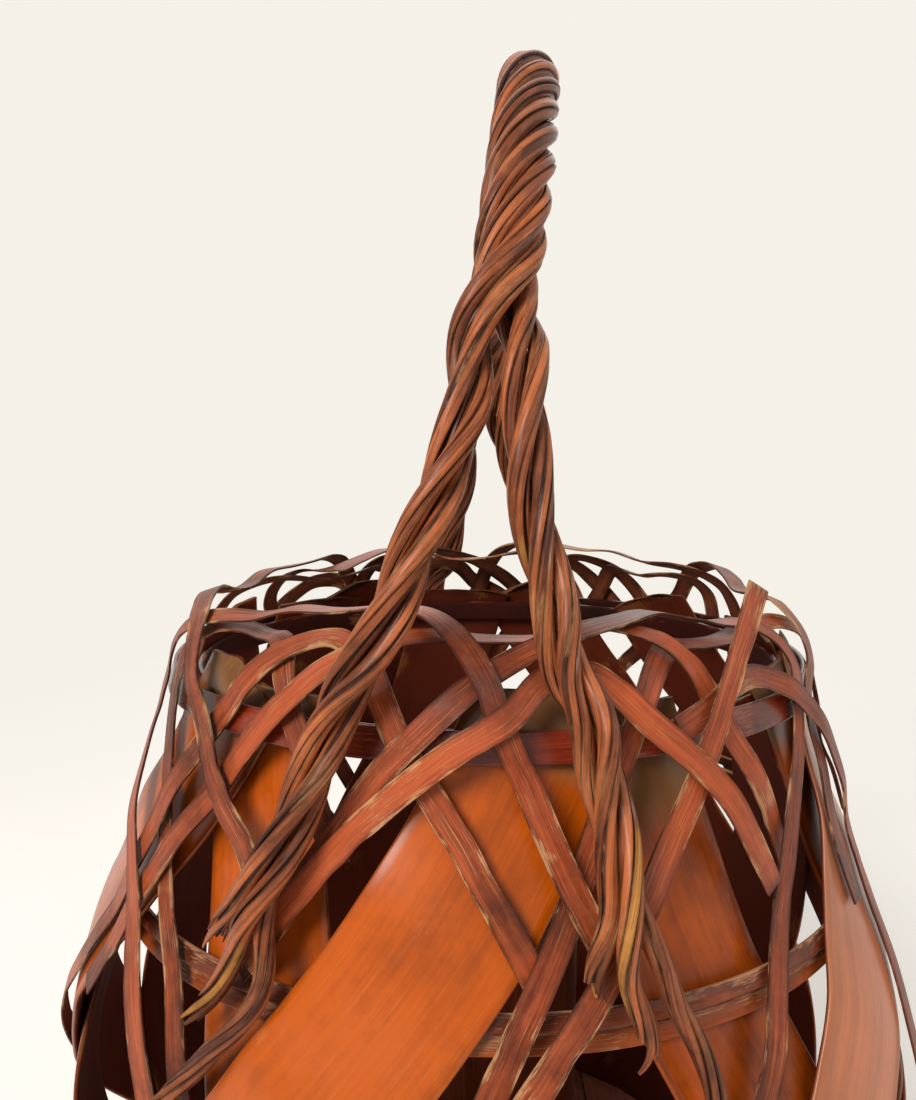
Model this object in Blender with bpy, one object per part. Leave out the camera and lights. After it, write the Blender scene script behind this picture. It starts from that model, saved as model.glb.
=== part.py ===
"""Ikebana basket of split bamboo, with a twisted handle and a water tube that lifts out.

Metres, +Z up. The origin lies on the basket's axis, on the plane that it rests on, and -Y is the front.
The wall is laid as a weaver lays it: every strip rests on whatever already lies on its route.
"""
import math

import bmesh
import bpy
import numpy as np
from mathutils import Matrix

for leftover in list(bpy.data.objects):
    bpy.data.objects.remove(leftover)

# The inner face of the wall, from the foot to the lip: heights above the table and radii
foot_level = 0.0015
foot_radius = 0.0830
collar_level = 0.0105
collar_radius = 0.0869
heel_level = 0.0205
heel_radius = 0.0940
flank_level = 0.032
flank_radius = 0.104
belly_level = 0.074
belly_radius = 0.126
shoulder_level = 0.128
shoulder_radius = 0.1155
waist_level = 0.153
waist_radius = 0.105
neck_level = 0.213
neck_radius = 0.0888
lip_roll_radius = 0.012
lip_roll_turn = math.radians(115)

# Sections of the split bamboo
plate_width = 0.037
plate_thickness = 0.0016
strip_width = 0.0064
strip_thickness = 0.0012
cut_strip_tail = 0.036
rim_hoop_level = 0.2065
rim_hoop_height = 0.0075
rim_hoop_thickness = 0.0018
waist_band_level = 0.1484
waist_band_height = 0.0042
waist_band_thickness = 0.0014
foot_hoop_height = 0.0095
foot_hoop_thickness = 0.0030
slat_thickness = 0.0015
slat_gap = 0.0008
slat_count = 4
slat_end_share = 0.35
slat_end_cuts = 3
slat_end_least = 0.0016

# Handle
strand_diameter = 0.0050
arch_level = 0.3805
arch_lean = 0.0115
parting_level = 0.297
parting_depth = 0.080
arch_turns = 3
leg_pitch = 0.074
strand_gap = 0.00066
leg_twist_radius = (strand_diameter + strand_gap) / math.sqrt(3)
leg_radius = leg_twist_radius + strand_diameter / 2
bundle_radius = 0.00617
leg_spacing = leg_radius + strand_gap / 2
bundle_middle_share = 2 / 3
merge_share = 0.36
back_turn_share = 0.5

# Water tube
tube_radius = 0.030
tube_height = 0.112
tube_wall = 0.0035
tube_node_level = 0.018
tube_node_thickness = 0.0040
tube_node_ridge = 0.0012
tube_lip_bevel = 0.0012

# Clearances and steps
lay_gap = 0.00064
inner_gap = 0.00086
seat_gap = 0.00030
band_gap = 0.00060
lay_cell = 0.001
merge_reach = 0.00002
facet_dip = 0.00022
plate_facet_dip = 0.00027
strand_facet_dip = 0.00037
smoothing_reach = 3
lay_columns = 720
hoop_facets = 40
strand_sides = 5
plate_divisions = 3
tube_facets = 24
knots_a_turn = 16
heading_reach = 8
foot_lead = 11
foot_blend = 22
climb_share = 0.16
strand_climb_share = 0.30
turn = 2 * math.pi
crease_angle = math.radians(40)
round_angle = math.radians(80)

BARK = (0.42, 0.13, 0.045)
BRIGHT = (0.55, 0.19, 0.05)
WORN = (0.40, 0.17, 0.085)
DARK_RED = (0.16, 0.022, 0.012)
STEM = (0.30, 0.10, 0.045)
CULM = (0.36, 0.27, 0.11)


def smooth_through(points, step):
    """A smooth curve through the points, read off about every step along it."""
    knots = np.asarray(points, float)
    spans = np.linalg.norm(np.diff(knots, axis=0), axis=1)
    slopes = np.diff(knots, axis=0) / spans[:, None]
    weights = (spans[:-1] / (spans[:-1] + spans[1:]))[:, None]
    inner = slopes[:-1] * (1 - weights) + slopes[1:] * weights
    tangents = np.vstack([slopes[:1], inner, slopes[-1:]])
    pieces = []
    for index, span in enumerate(spans):
        count = max(1, math.ceil(span / step))
        u = (np.arange(count) / count)[:, None]
        start, end = knots[index], knots[index + 1]
        lead, trail = tangents[index] * span, tangents[index + 1] * span
        pieces.append(start * (2 * u**3 - 3 * u**2 + 1) + lead * (u**3 - 2 * u**2 + u)
                      + end * (3 * u**2 - 2 * u**3) + trail * (u**3 - u**2))
    return np.vstack(pieces + [knots[-1:]])


def wall_profile():
    """The wall's inner face in the half-plane of radius and height, rolled inwards at the lip."""
    stations = ((foot_radius, foot_level), (collar_radius, collar_level), (heel_radius, heel_level),
                (flank_radius, flank_level), (belly_radius, belly_level), (shoulder_radius, shoulder_level),
                (waist_radius, waist_level), (neck_radius, neck_level))
    wall = smooth_through(stations, lay_cell)
    heading = (wall[-1] - wall[-2]) / np.linalg.norm(wall[-1] - wall[-2])
    outward = np.array([heading[1], -heading[0]])
    centre = wall[-1] - outward * lip_roll_radius
    start = math.atan2(outward[1], outward[0])
    steps = math.ceil(lip_roll_turn * lip_roll_radius / lay_cell) * 2
    angles = start + lip_roll_turn * (np.arange(steps) + 1) / steps
    lip = centre + lip_roll_radius * np.column_stack([np.cos(angles), np.sin(angles)])
    return np.vstack([wall, lip])


PROFILE = wall_profile()
PROFILE_RISE = np.concatenate([[0], np.cumsum(np.linalg.norm(np.diff(PROFILE, axis=0), axis=1))])
PROFILE_HEADING = np.gradient(PROFILE, PROFILE_RISE, axis=0)
PROFILE_HEADING /= np.linalg.norm(PROFILE_HEADING, axis=1)[:, None]
WALL_LENGTH = PROFILE_RISE[-1]


def rise_at(level):
    """How far up the wall's face a height lies, below the lip."""
    straight = PROFILE[:, 1] <= neck_level
    return np.interp(level, PROFILE[straight, 1], PROFILE_RISE[straight])


def face_radius(rise):
    return np.interp(rise, PROFILE_RISE, PROFILE[:, 0])


def on_wall(azimuth, rise, lift):
    """Points at a lift above the wall's face, and the way out from it. Azimuth runs from the front to +X."""
    heading_r = np.interp(rise, PROFILE_RISE, PROFILE_HEADING[:, 0])
    heading_z = np.interp(rise, PROFILE_RISE, PROFILE_HEADING[:, 1])
    length = np.hypot(heading_r, heading_z)
    out_r, out_z = heading_z / length, -heading_r / length
    radius = face_radius(rise) + lift * out_r
    height = np.interp(rise, PROFILE_RISE, PROFILE[:, 1]) + lift * out_z
    sine, cosine = np.sin(azimuth), -np.cos(azimuth)
    points = np.stack([radius * sine, radius * cosine, height], axis=-1)
    outward = np.stack([out_r * sine, out_r * cosine, out_z + sine * 0], axis=-1)
    return points, outward


def unit(vectors):
    return vectors / np.linalg.norm(vectors, axis=-1, keepdims=True)


def arc_positions(points):
    return np.concatenate([[0], np.cumsum(np.linalg.norm(np.diff(points, axis=0), axis=1))])


def spread_stations(points, dip):
    """Indices along a dense curve, so close that no chord dips further than dip from the curve."""
    along = arc_positions(points)
    headings = unit(np.gradient(points, along, axis=0))
    bends = np.linalg.norm(np.gradient(headings, along, axis=0), axis=1)
    window = 2 * smoothing_reach + 1
    padded = np.pad(bends, smoothing_reach, mode="edge")
    bends = np.convolve(padded, np.ones(window) / window, mode="valid")
    steps = np.sqrt(8 * dip / np.maximum(bends, 1 / belly_radius))
    cost = np.concatenate([[0], np.cumsum(np.diff(along) / ((steps[1:] + steps[:-1]) / 2))])
    count = max(2, math.ceil(cost[-1]))
    return np.unique(np.searchsorted(cost, np.linspace(0, cost[-1], count + 1)).clip(0, len(points) - 1))


def finish(name, mesh_builder, colour, roughness, smooth_angle=crease_angle):
    """A named object of the closed body in the bmesh, with its own material."""
    bmesh.ops.recalc_face_normals(mesh_builder, faces=mesh_builder.faces)
    mesh = bpy.data.meshes.new(name)
    mesh_builder.to_mesh(mesh)
    mesh_builder.free()
    mesh.shade_smooth()
    mesh.set_sharp_from_angle(angle=smooth_angle)
    body = bpy.data.objects.new(name, mesh)
    bpy.context.scene.collection.objects.link(body)
    material = bpy.data.materials.new(name)
    material.use_nodes = True
    shader = material.node_tree.nodes["Principled BSDF"]
    shader.inputs["Base Color"].default_value = (*colour, 1)
    shader.inputs["Roughness"].default_value = roughness
    shader.inputs["Metallic"].default_value = 0
    mesh.materials.append(material)
    return body


def loft(rings, closed, cap_rows=0):
    """Rings of corners joined into one closed body. Cap rows split a flat strip's end into quads."""
    builder = bmesh.new()
    corners = [[builder.verts.new(point) for point in ring] for ring in rings]
    count = len(corners[0])
    for index in range(len(corners) if closed else len(corners) - 1):
        near, far = corners[index], corners[(index + 1) % len(corners)]
        for side in range(count):
            after = (side + 1) % count
            builder.faces.new((near[side], near[after], far[after], far[side]))
    if not closed:
        for ring in (corners[0], corners[-1]):
            if cap_rows:
                for row in range(cap_rows):
                    builder.faces.new((ring[row], ring[row + 1], ring[count - 2 - row], ring[count - 1 - row]))
            else:
                builder.faces.new(ring)
    return builder


# What lies on the wall so far: the highest lift in each cell of azimuth and rise
pile_rows = math.ceil(WALL_LENGTH / lay_cell) + 2
pile = np.zeros((pile_rows, lay_columns))


def pile_cells(azimuth, rise):
    columns = np.floor(azimuth / turn * lay_columns).astype(int) % lay_columns
    rows = np.clip(np.floor(rise / lay_cell).astype(int), 0, pile_rows - 1)
    return rows, columns


def footprint(azimuth, rise, width):
    """Azimuths and rises under a strip: one row for each point of the route, one column across it."""
    radius = face_radius(rise)
    flat = np.column_stack([np.unwrap(azimuth) * waist_radius, rise])
    along = arc_positions(flat)
    across_way = np.gradient(np.unwrap(azimuth), along) * radius
    up_way = np.gradient(rise, along)
    length = np.hypot(across_way, up_way)
    side_azimuth = up_way / length / radius
    side_rise = -across_way / length
    count = max(2, math.ceil(width / lay_cell * 2) + 1)
    offsets = np.linspace(-width / 2, width / 2, count)
    return azimuth[:, None] + offsets * side_azimuth[:, None], rise[:, None] + offsets * side_rise[:, None]


def heap(azimuth, rise, width, tops):
    """Raise the pile to the tops of a strip, one cell wider than the strip on each side."""
    spots_azimuth, spots_rise = footprint(azimuth, rise, width + 2 * lay_cell)
    rows, columns = pile_cells(spots_azimuth, spots_rise)
    np.maximum.at(pile, (rows, columns), np.broadcast_to(tops[:, None], rows.shape))


def rest_lifts(azimuth, rise, width, stations, gap, closed=False, climb=climb_share):
    """The lowest lifts at the stations that clear the pile, climbing and sinking at a gentle slope."""
    rows, columns = pile_cells(*footprint(azimuth, rise, width))
    under = pile[rows, columns].max(axis=1)
    if closed:
        return np.full(len(stations), under.max() + gap)
    flat = np.column_stack([np.unwrap(azimuth) * waist_radius, rise])
    along = arc_positions(flat)[stations]
    lifts = np.empty(len(stations))
    for index in range(len(stations)):
        first = stations[max(index - 1, 0)]
        last = stations[min(index + 1, len(stations) - 1)]
        lifts[index] = under[first:last + 1].max()
    lifts = np.where(lifts > 0, lifts + gap, 0)
    for order in (range(1, len(stations)), range(len(stations) - 2, -1, -1)):
        for index in order:
            before = index - 1 if order.step == 1 else index + 1
            fall = abs(along[index] - along[before]) * climb
            lifts[index] = max(lifts[index], lifts[before] - fall)
    return lifts


def route_points(route_shares, turn_share=0):
    """A smooth dense route on the wall from (degrees of azimuth, share of the wall's length)."""
    flat = [(math.radians(degrees) * waist_radius, share * WALL_LENGTH) for degrees, share in route_shares]
    dense = smooth_through(flat, lay_cell / 2)
    return dense[:, 0] / waist_radius + turn * turn_share, dense[:, 1]


def flat_ribbon(name, route, width, thickness, colour, roughness, divisions=1, closed=False,
                dip=facet_dip, tail=0):
    """One strip laid along a route on top of what is there. A tail stands straight on from its end."""
    azimuth, rise = route
    dense, _ = on_wall(azimuth, rise, np.zeros(len(azimuth)))
    if closed:
        stations = np.linspace(0, len(azimuth), hoop_facets, endpoint=False).astype(int)
    else:
        stations = spread_stations(dense, dip)
    lifts = rest_lifts(azimuth, rise, width, stations, lay_gap, closed)
    top_lifts = np.interp(np.arange(len(azimuth)), stations, lifts) + thickness
    heap(azimuth, rise, width, top_lifts)
    ribbon_body(name, route, stations, lifts, width, thickness, colour, roughness, divisions, closed, tail)


def ribbon_body(name, route, stations, lifts, width, thickness, colour, roughness, divisions=1, closed=True,
                tail=0):
    """The body of a strip from its lifts above the wall's face. A broad one is bent across as well."""
    azimuth, rise = route
    dense, _ = on_wall(azimuth, rise, np.zeros(len(azimuth)))
    if closed:
        headings = unit(np.roll(dense, -1, axis=0) - np.roll(dense, 1, axis=0))
    else:
        headings = unit(np.gradient(dense, axis=0))
    offsets = np.linspace(-width / 2, width / 2, divisions + 1)
    rings = []
    for station, lift in zip(stations, lifts):
        centre_azimuth, centre_rise = azimuth[station], rise[station]
        foot_point, outward = on_wall(centre_azimuth, centre_rise, 0)
        side = unit(np.cross(headings[station], outward))
        round_way = np.array([math.cos(centre_azimuth), math.sin(centre_azimuth), 0])
        up_way = np.cross(outward, round_way)
        bottom, top = [], []
        for offset in offsets:
            if divisions > 1:
                spot = foot_point + side * offset
                spot_azimuth = math.atan2(spot[0], -spot[1])
                spot_rise = centre_rise + offset * np.dot(side, up_way)
                bottom.append(on_wall(spot_azimuth, spot_rise, lift)[0])
                top.append(on_wall(spot_azimuth, spot_rise, lift + thickness)[0])
            else:
                bottom.append(foot_point + side * offset + outward * lift)
                top.append(foot_point + side * offset + outward * (lift + thickness))
        rings.append(bottom + top[::-1])
    if tail:
        rings.append([corner + headings[-1] * tail for corner in rings[-1]])
    finish(name, loft(rings, closed, cap_rows=divisions), colour, roughness)


def hoop_route(rise):
    count = math.ceil(turn * belly_radius / lay_cell) * 2
    azimuth = turn * np.arange(count) / count
    return azimuth, np.full(count, rise)


# Broad plates, (degrees of azimuth, share of the wall's length) going up, and how far round each one of
# them is turned as a share of a full turn
LEFT_LEANING_SHARES = ((14, 0.012), (4, 0.20), (-6, 0.45), (-16, 0.66), (-24.8, 0.893))
RIGHT_LEANING_SHARES = ((-72, 0.012), (-54, 0.20), (-31, 0.45), (-12, 0.66), (6.6, 0.893))
LEFT_LEANING_TURN_SHARES = (-0.041, 0.115, 0.236, 0.340, 0.583, 0.696, 0.790)
RIGHT_LEANING_TURN_SHARES = (0, 0.197, 0.350, 0.445, 0.583, 0.694, 0.854)

# Narrow strips of the front, and again turned half round for the back, in the order they are laid
STRIP_SHARES = {
    "low_arch_strip": ((5, 0.012), (-12, 0.22), (-26, 0.40), (-38, 0.566), (-46, 0.68), (-54, 0.78),
                       (-60, 0.87), (-60, 0.925), (-53, 0.952), (-42, 0.952), (-34, 0.93), (-28, 0.88),
                       (-22.5, 0.80), (-20.5, 0.77)),
    "leaning_strip": ((-119, 0.012), (-105, 0.15), (-88, 0.34), (-74, 0.48), (-62, 0.62), (-54, 0.74),
                      (-46, 0.85), (-40, 0.90), (-32, 0.935), (-24, 0.943), (-18, 0.925), (-12, 0.87),
                      (-5, 0.80), (0, 0.74), (3.7, 0.688)),
    "upright_strip": ((-44, 0.012), (-30, 0.18), (-12, 0.42), (-1, 0.60), (5, 0.70), (10, 0.78), (15, 0.85),
                      (21, 0.915), (29, 0.945), (42, 0.957), (58, 0.950), (70, 0.925), (77, 0.88), (80, 0.80),
                      (78, 0.70)),
    "long_lip_strip": ((-60, 0.56), (-50, 0.71), (-42, 0.80), (-35, 0.87), (-28, 0.91), (-18, 0.938),
                       (-6, 0.957), (8, 0.965), (20, 0.960), (28, 0.935), (33, 0.88), (40, 0.80),
                       (45, 0.725)),
    "crossing_strip": ((-32, 0.66), (-27, 0.72), (-20, 0.80), (-13, 0.87), (-6, 0.912), (4, 0.938),
                       (18, 0.955), (36, 0.970), (50, 0.965), (56, 0.93), (53, 0.87), (46, 0.79),
                       (39, 0.71), (32, 0.60), (22, 0.46), (8, 0.26), (-8, 0.012)),
    "big_arch_strip": ((-8, 0.15), (-24, 0.33), (-38, 0.50), (-50, 0.66), (-62, 0.77), (-70, 0.86),
                       (-66, 0.918), (-54, 0.947), (-36, 0.962), (-20, 0.968), (-9, 0.955), (-2, 0.922),
                       (2, 0.87), (7, 0.78), (12, 0.695)),
    "back_lip_strip": ((-30, 0.735), (-32, 0.76), (-40, 0.82), (-46, 0.875), (-53, 0.92), (-66, 0.945),
                       (-86, 0.957), (-108, 0.962), (-128, 0.957), (-143, 0.935), (-152, 0.88),
                       (-157, 0.78), (-157, 0.66)),
    "side_arch_strip": ((24, 0.885), (36, 0.912), (47, 0.905), (56, 0.86), (62, 0.79), (64, 0.70),
                        (62, 0.58), (57, 0.44), (48, 0.22), (38, 0.012)),
    "cut_strip": ((-6, 0.50), (8, 0.66), (17, 0.76), (25, 0.84), (29.5, 0.885)),
    "short_arch_strip": ((-30, 0.67), (-26, 0.72), (-18, 0.80), (-9, 0.86), (0, 0.90), (7, 0.922),
                         (13, 0.92), (20, 0.888), (27, 0.84), (33, 0.775), (36.5, 0.728)),
}

# The back's own route where the two sides differ
BACK_SHARES = {
    "back_lip_strip": ((150, 0.735), (148, 0.76), (140, 0.82), (134, 0.875), (127, 0.92), (116, 0.945),
                       (100, 0.955), (82, 0.955), (68, 0.935), (60, 0.88), (56, 0.78), (57, 0.66)),
}
TAIL_ENDS = ("cut_strip_front",)

# The legs: on the wall as the strips are, then free up to the parting as shares of (the neck's radius
# across, the reach from the parting out to the neck, the rise from the neck to the parting)
LEG_FOOT_SHARES = {
    "left": ((-29.8, 0.695), (-27.6, 0.73), (-25.2, 0.775), (-22.8, 0.824), (-19.5, 0.905)),
    "right": ((12.4, 0.70), (12.1, 0.76), (11.5, 0.82), (10.7, 0.87), (10.0, 0.905)),
}
LEG_FREE_SHARES = {
    "left": ((-0.318, 2.35, 0.20), (-0.248, 2.15, 0.36), (-0.161, 1.60, 0.59), (-0.080, 0.80, 0.84)),
    "right": ((0.164, 2.65, 0.13), (0.140, 2.40, 0.27), (0.102, 2.00, 0.44), (0.076, 1.55, 0.60),
              (0.066, 0.80, 0.84)),
}
ARCH_SHARES = ((1, 0), (0.93, 0.13), (0.75, 0.47), (0.475, 0.76), (0.19, 0.95), (0, 1))

# How the three strands of a leg end on the wall, from the left to the right: cut off above the waist bands,
# hooked over them, or running on down
STRAND_END_SHARES = {
    "left": (((-35.3, 0.670), (-34.4, 0.688)),
             ((-37.0, 0.600), (-34.8, 0.625), (-31.8, 0.650), (-30.4, 0.680)),
             ((-38.0, 0.525), (-33.0, 0.58), (-28.0, 0.63), (-25.8, 0.675))),
    "right": (((9.4, 0.663), (8.4, 0.688)),
              ((12.0, 0.605), (14.2, 0.62), (14.0, 0.65), (12.6, 0.682)),
              ((22.8, 0.500), (22.0, 0.58), (19.8, 0.63), (17.6, 0.66), (16.6, 0.685))),
}


def lay_wall():
    """Plates, bands, the rim hoops and the narrow strips, in the order that a weaver lays them."""
    for number, turn_share in enumerate(LEFT_LEANING_TURN_SHARES, 1):
        route = route_points(LEFT_LEANING_SHARES, turn_share)
        flat_ribbon(f"left_leaning_plate_{number}", route, plate_width, plate_thickness, BARK, 0.35,
                    divisions=plate_divisions, dip=plate_facet_dip)
    band_offset = (waist_band_height + band_gap) / 2
    waist_rise = rise_at(waist_band_level)
    for name, rise in (("lower_waist_band", waist_rise - band_offset),
                       ("upper_waist_band", waist_rise + band_offset)):
        flat_ribbon(name, hoop_route(rise), waist_band_height, waist_band_thickness, WORN, 0.5, closed=True)
    for number, turn_share in enumerate(RIGHT_LEANING_TURN_SHARES, 1):
        route = route_points(RIGHT_LEANING_SHARES, turn_share)
        flat_ribbon(f"right_leaning_plate_{number}", route, plate_width, plate_thickness, BRIGHT, 0.3,
                    divisions=plate_divisions, dip=plate_facet_dip)
    flat_ribbon("outer_rim_hoop", hoop_route(rise_at(rim_hoop_level)), rim_hoop_height, rim_hoop_thickness,
                DARK_RED, 0.35, closed=True)
    inner_hoop("inner_rim_hoop", rise_at(rim_hoop_level), rim_hoop_height, rim_hoop_thickness, DARK_RED)
    for name, shares in STRIP_SHARES.items():
        own_back = name in BACK_SHARES
        back_route = route_points(BACK_SHARES[name]) if own_back else route_points(shares, back_turn_share)
        for side, route in (("front", route_points(shares)), ("back", back_route)):
            tail = cut_strip_tail if f"{name}_{side}" in TAIL_ENDS else 0
            flat_ribbon(f"{name}_{side}", route, strip_width, strip_thickness, WORN, 0.45, tail=tail)


def inner_hoop(name, rise, height, thickness, colour):
    """A hoop inside the wall, with its outer face just clear of the plates' inner faces."""
    route = hoop_route(rise)
    stations = np.linspace(0, len(route[0]), hoop_facets, endpoint=False).astype(int)
    lifts = np.full(hoop_facets, -inner_gap - thickness)
    ribbon_body(name, route, stations, lifts, height, thickness, colour, 0.4)


def foot_reach(lift, level):
    """The radius of the wall's face, raised by a lift, at a height within the foot."""
    rises = np.arange(math.ceil(rise_at(heel_level) / lay_cell)) * lay_cell
    points, _ = on_wall(np.zeros(len(rises)), rises, lift)
    return np.interp(level, points[:, 2], -points[:, 1])


def foot_hoop(name, inner_radii, outer_radii, colour):
    """A hoop round the foot. Its faces lean as the wall does: each has a radius below and one on top."""
    builder = bmesh.new()
    corners = ((inner_radii[0], 0), (outer_radii[0], 0), (outer_radii[1], foot_hoop_height),
               (inner_radii[1], foot_hoop_height))
    start = [builder.verts.new((radius, 0, level)) for radius, level in corners]
    edges = [builder.edges.new((start[index], start[index - 1])) for index in range(len(start))]
    bmesh.ops.spin(builder, geom=start + edges, cent=(0, 0, 0), axis=(0, 0, 1), angle=turn,
                   steps=hoop_facets, use_merge=True)
    bmesh.ops.remove_doubles(builder, verts=builder.verts, dist=merge_reach)
    return finish(name, builder, colour, 0.5)


def lay_foot():
    """The two foot hoops that clamp the wall's lower end, and the floor slats on the inner one."""
    rows = math.ceil(rise_at(foot_hoop_height) / lay_cell) + 1
    top_lift = pile[:rows].max() + lay_gap + facet_dip
    facet_scale = 1 / math.cos(turn / 2 / hoop_facets)
    outside = np.array([foot_reach(top_lift, 0), foot_reach(top_lift, foot_hoop_height)]) * facet_scale
    inside = np.array([foot_reach(-inner_gap, 0), foot_reach(-inner_gap, foot_hoop_height)])
    foot_hoop("outer_foot_hoop", outside, outside + foot_hoop_thickness, WORN)
    foot_hoop("inner_foot_hoop", inside - foot_hoop_thickness, inside, WORN)
    floor_radius = inside[1] - slat_end_share * foot_hoop_thickness
    slat_width = 2 * floor_radius / slat_count - slat_gap
    for layer, (label, heading) in enumerate((("lower", 0), ("upper", turn / 4))):
        low = foot_hoop_height + seat_gap + layer * (slat_thickness + seat_gap)
        for number in range(slat_count):
            middle = (number - (slat_count - 1) / 2) * (slat_width + slat_gap)
            floor_slat(f"{label}_floor_slat_{number + 1}", middle, slat_width, floor_radius, low, heading)


def floor_slat(name, middle, width, floor_radius, low, heading):
    """A floor slat across the foot, with its ends cut to the round of the inner hoop."""
    across = np.linspace(middle - width / 2, middle + width / 2, slat_end_cuts + 1)
    reach = np.sqrt(np.maximum(floor_radius**2 - across**2, slat_end_least**2))
    outline = [(x, y) for x, y in zip(reach, across)] + [(-x, y) for x, y in zip(reach[::-1], across[::-1])]
    builder = bmesh.new()
    face = builder.faces.new([builder.verts.new((x, y, low)) for x, y in outline])
    raised = bmesh.ops.extrude_face_region(builder, geom=[face])
    lifted = [element for element in raised["geom"] if isinstance(element, bmesh.types.BMVert)]
    bmesh.ops.translate(builder, verts=lifted, vec=(0, 0, slat_thickness))
    bmesh.ops.rotate(builder, verts=builder.verts, cent=(0, 0, 0), matrix=Matrix.Rotation(heading, 3, "Z"))
    finish(name, builder, BARK, 0.5)


def smooth_step(values):
    clipped = np.clip(values, 0, 1)
    return clipped * clipped * (3 - 2 * clipped)


def arch_curve():
    """The middle of the twisted bundle, from the front parting over the mouth to the back one."""
    half = [(-depth * parting_depth, parting_level + rise * (arch_level - parting_level), rise * arch_lean)
            for depth, rise in ARCH_SHARES]
    there_and_back = half + [(-depth, level, lean) for depth, level, lean in half[-2::-1]]
    return smooth_through([(lean, depth, level) for depth, level, lean in there_and_back], lay_cell)


def sideways_frame(headings):
    """Two unit vectors square to each heading, the first as near to +X as it can be."""
    first = unit(np.array([1.0, 0, 0]) - headings * headings[:, :1])
    return first, np.cross(headings, first)


def leg_curve(side, turn_share=0):
    """The knots of a leg's middle, from its foot on the wall up to the parting, as if it stood at the front.
    It rests on what lies at the place that it is turned to."""
    shares = LEG_FOOT_SHARES[side]
    azimuth, rise = route_points(shares)
    stations = np.linspace(0, len(azimuth) - 1, len(shares) * 2).astype(int)
    turned_azimuth = azimuth + turn * turn_share
    lifts = rest_lifts(turned_azimuth, rise, 2 * leg_radius, stations, lay_gap) + leg_radius
    wall_knots = on_wall(azimuth[stations], rise[stations], lifts)[0]
    free_rise = parting_level - neck_level
    free_reach = neck_radius - parting_depth
    free_knots = [(across * neck_radius, -parting_depth - reach * free_reach, neck_level + up * free_rise)
                  for across, reach, up in LEG_FREE_SHARES[side]]
    return np.vstack([wall_knots, free_knots])


def turned_half_round(points):
    return points * np.array([-1, -1, 1])


def leg_turning(length, start_phase, top_phase, top_strand):
    """How far a leg's strands turn in each metre, so that the same one tops the other two at the foot."""
    wanted = top_phase + turn * top_strand / 3
    reached = start_phase + turn * length / leg_pitch
    settled = wanted + turn * round((reached - wanted) / turn)
    return (settled - start_phase) / length


def strand_group(front_side, back_side, start_phase, top_strands):
    """Middles of three strands that twist up one front leg, through the bundle and down a back leg."""
    front_top, back_top = top_strands
    arch = arch_curve()
    along = arc_positions(arch)
    arch_headings = unit(np.gradient(arch, along, axis=0))
    first, second = sideways_frame(arch_headings)
    phase = start_phase + turn * arch_turns * along / along[-1]
    merge_length = along[-1] / arch_turns * merge_share
    merged = smooth_step(np.minimum(along, along[-1] - along) / merge_length)
    spread = leg_spacing + (bundle_radius * bundle_middle_share - leg_spacing) * merged
    middle = arch + spread[:, None] * (np.cos(phase)[:, None] * first + np.sin(phase)[:, None] * second)
    knot_step = max(1, len(arch) // (arch_turns * knots_a_turn))
    front = leg_curve(front_side)
    back = turned_half_round(leg_curve(back_side, back_turn_share))[::-1]
    front_knots = np.vstack([front, middle[:knot_step * 3:knot_step]])
    front_path = smooth_through(front_knots, lay_cell)
    front_path = front_path[:np.argmin(np.linalg.norm(front_path - middle[0], axis=1))]
    back_knots = np.vstack([middle[::-1][:knot_step * 3:knot_step][::-1], back])
    back_path = smooth_through(back_knots, lay_cell)
    back_path = back_path[np.argmin(np.linalg.norm(back_path - middle[-1], axis=1)) + 1:]
    path = np.vstack([front_path, middle, back_path])
    front_headings = unit(np.gradient(front_path, axis=0))
    back_headings = unit(np.gradient(back_path, axis=0))
    headings = np.vstack([front_headings, arch_headings, back_headings])
    window = 2 * heading_reach + 1
    padded = np.pad(headings, ((heading_reach, heading_reach), (0, 0)), mode="edge")
    headings = unit(np.stack([np.convolve(padded[:, axis], np.ones(window) / window, mode="valid")
                              for axis in range(3)], axis=1))
    first, second = sideways_frame(headings)
    front_along = arc_positions(front_path)
    front_along = front_along[-1] - front_along + lay_cell
    back_along = arc_positions(back_path) + lay_cell
    front_turning = leg_turning(front_along[foot_lead], -phase[0], turn / 4, front_top)
    back_turning = leg_turning(back_along[-foot_lead], phase[-1], -turn / 4, back_top)
    front_phase = phase[0] - front_turning * front_along
    back_phase = phase[-1] + back_turning * back_along
    phases = np.concatenate([front_phase, phase, back_phase])
    mix = np.concatenate([np.zeros(len(front_path)), merged, np.zeros(len(back_path))])
    strands = []
    for index in range(3):
        around = turn * index / 3
        bundle_around = turn * ((index + 1) % 3 - 1) / 6
        apart = np.array([math.cos(around), math.sin(around)]) * leg_twist_radius
        together = np.array([math.cos(bundle_around), math.sin(bundle_around)]) * bundle_radius
        together[0] -= bundle_radius * bundle_middle_share
        offset = apart + (together - apart) * mix[:, None]
        across = np.cos(phases) * offset[:, 0] - np.sin(phases) * offset[:, 1]
        deep = np.sin(phases) * offset[:, 0] + np.cos(phases) * offset[:, 1]
        strands.append(path + across[:, None] * first + deep[:, None] * second)
    return strands


def foot_knots(shares, leg_shares, turn_share):
    """Where one strand's end lies on the wall, from its tip up to where the leg starts."""
    azimuth, rise = route_points([*shares, *leg_shares])
    stations = np.linspace(0, len(azimuth) - 1, (len(shares) + len(leg_shares)) * 4).astype(int)
    turned_azimuth = azimuth + turn * turn_share
    lifts = rest_lifts(turned_azimuth, rise, strand_diameter, stations, seat_gap, climb=strand_climb_share)
    last = len(route_points(shares)[0])
    own = stations < last
    return on_wall(azimuth[stations[own]], rise[stations[own]], lifts[own] + strand_diameter / 2)[0]


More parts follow.
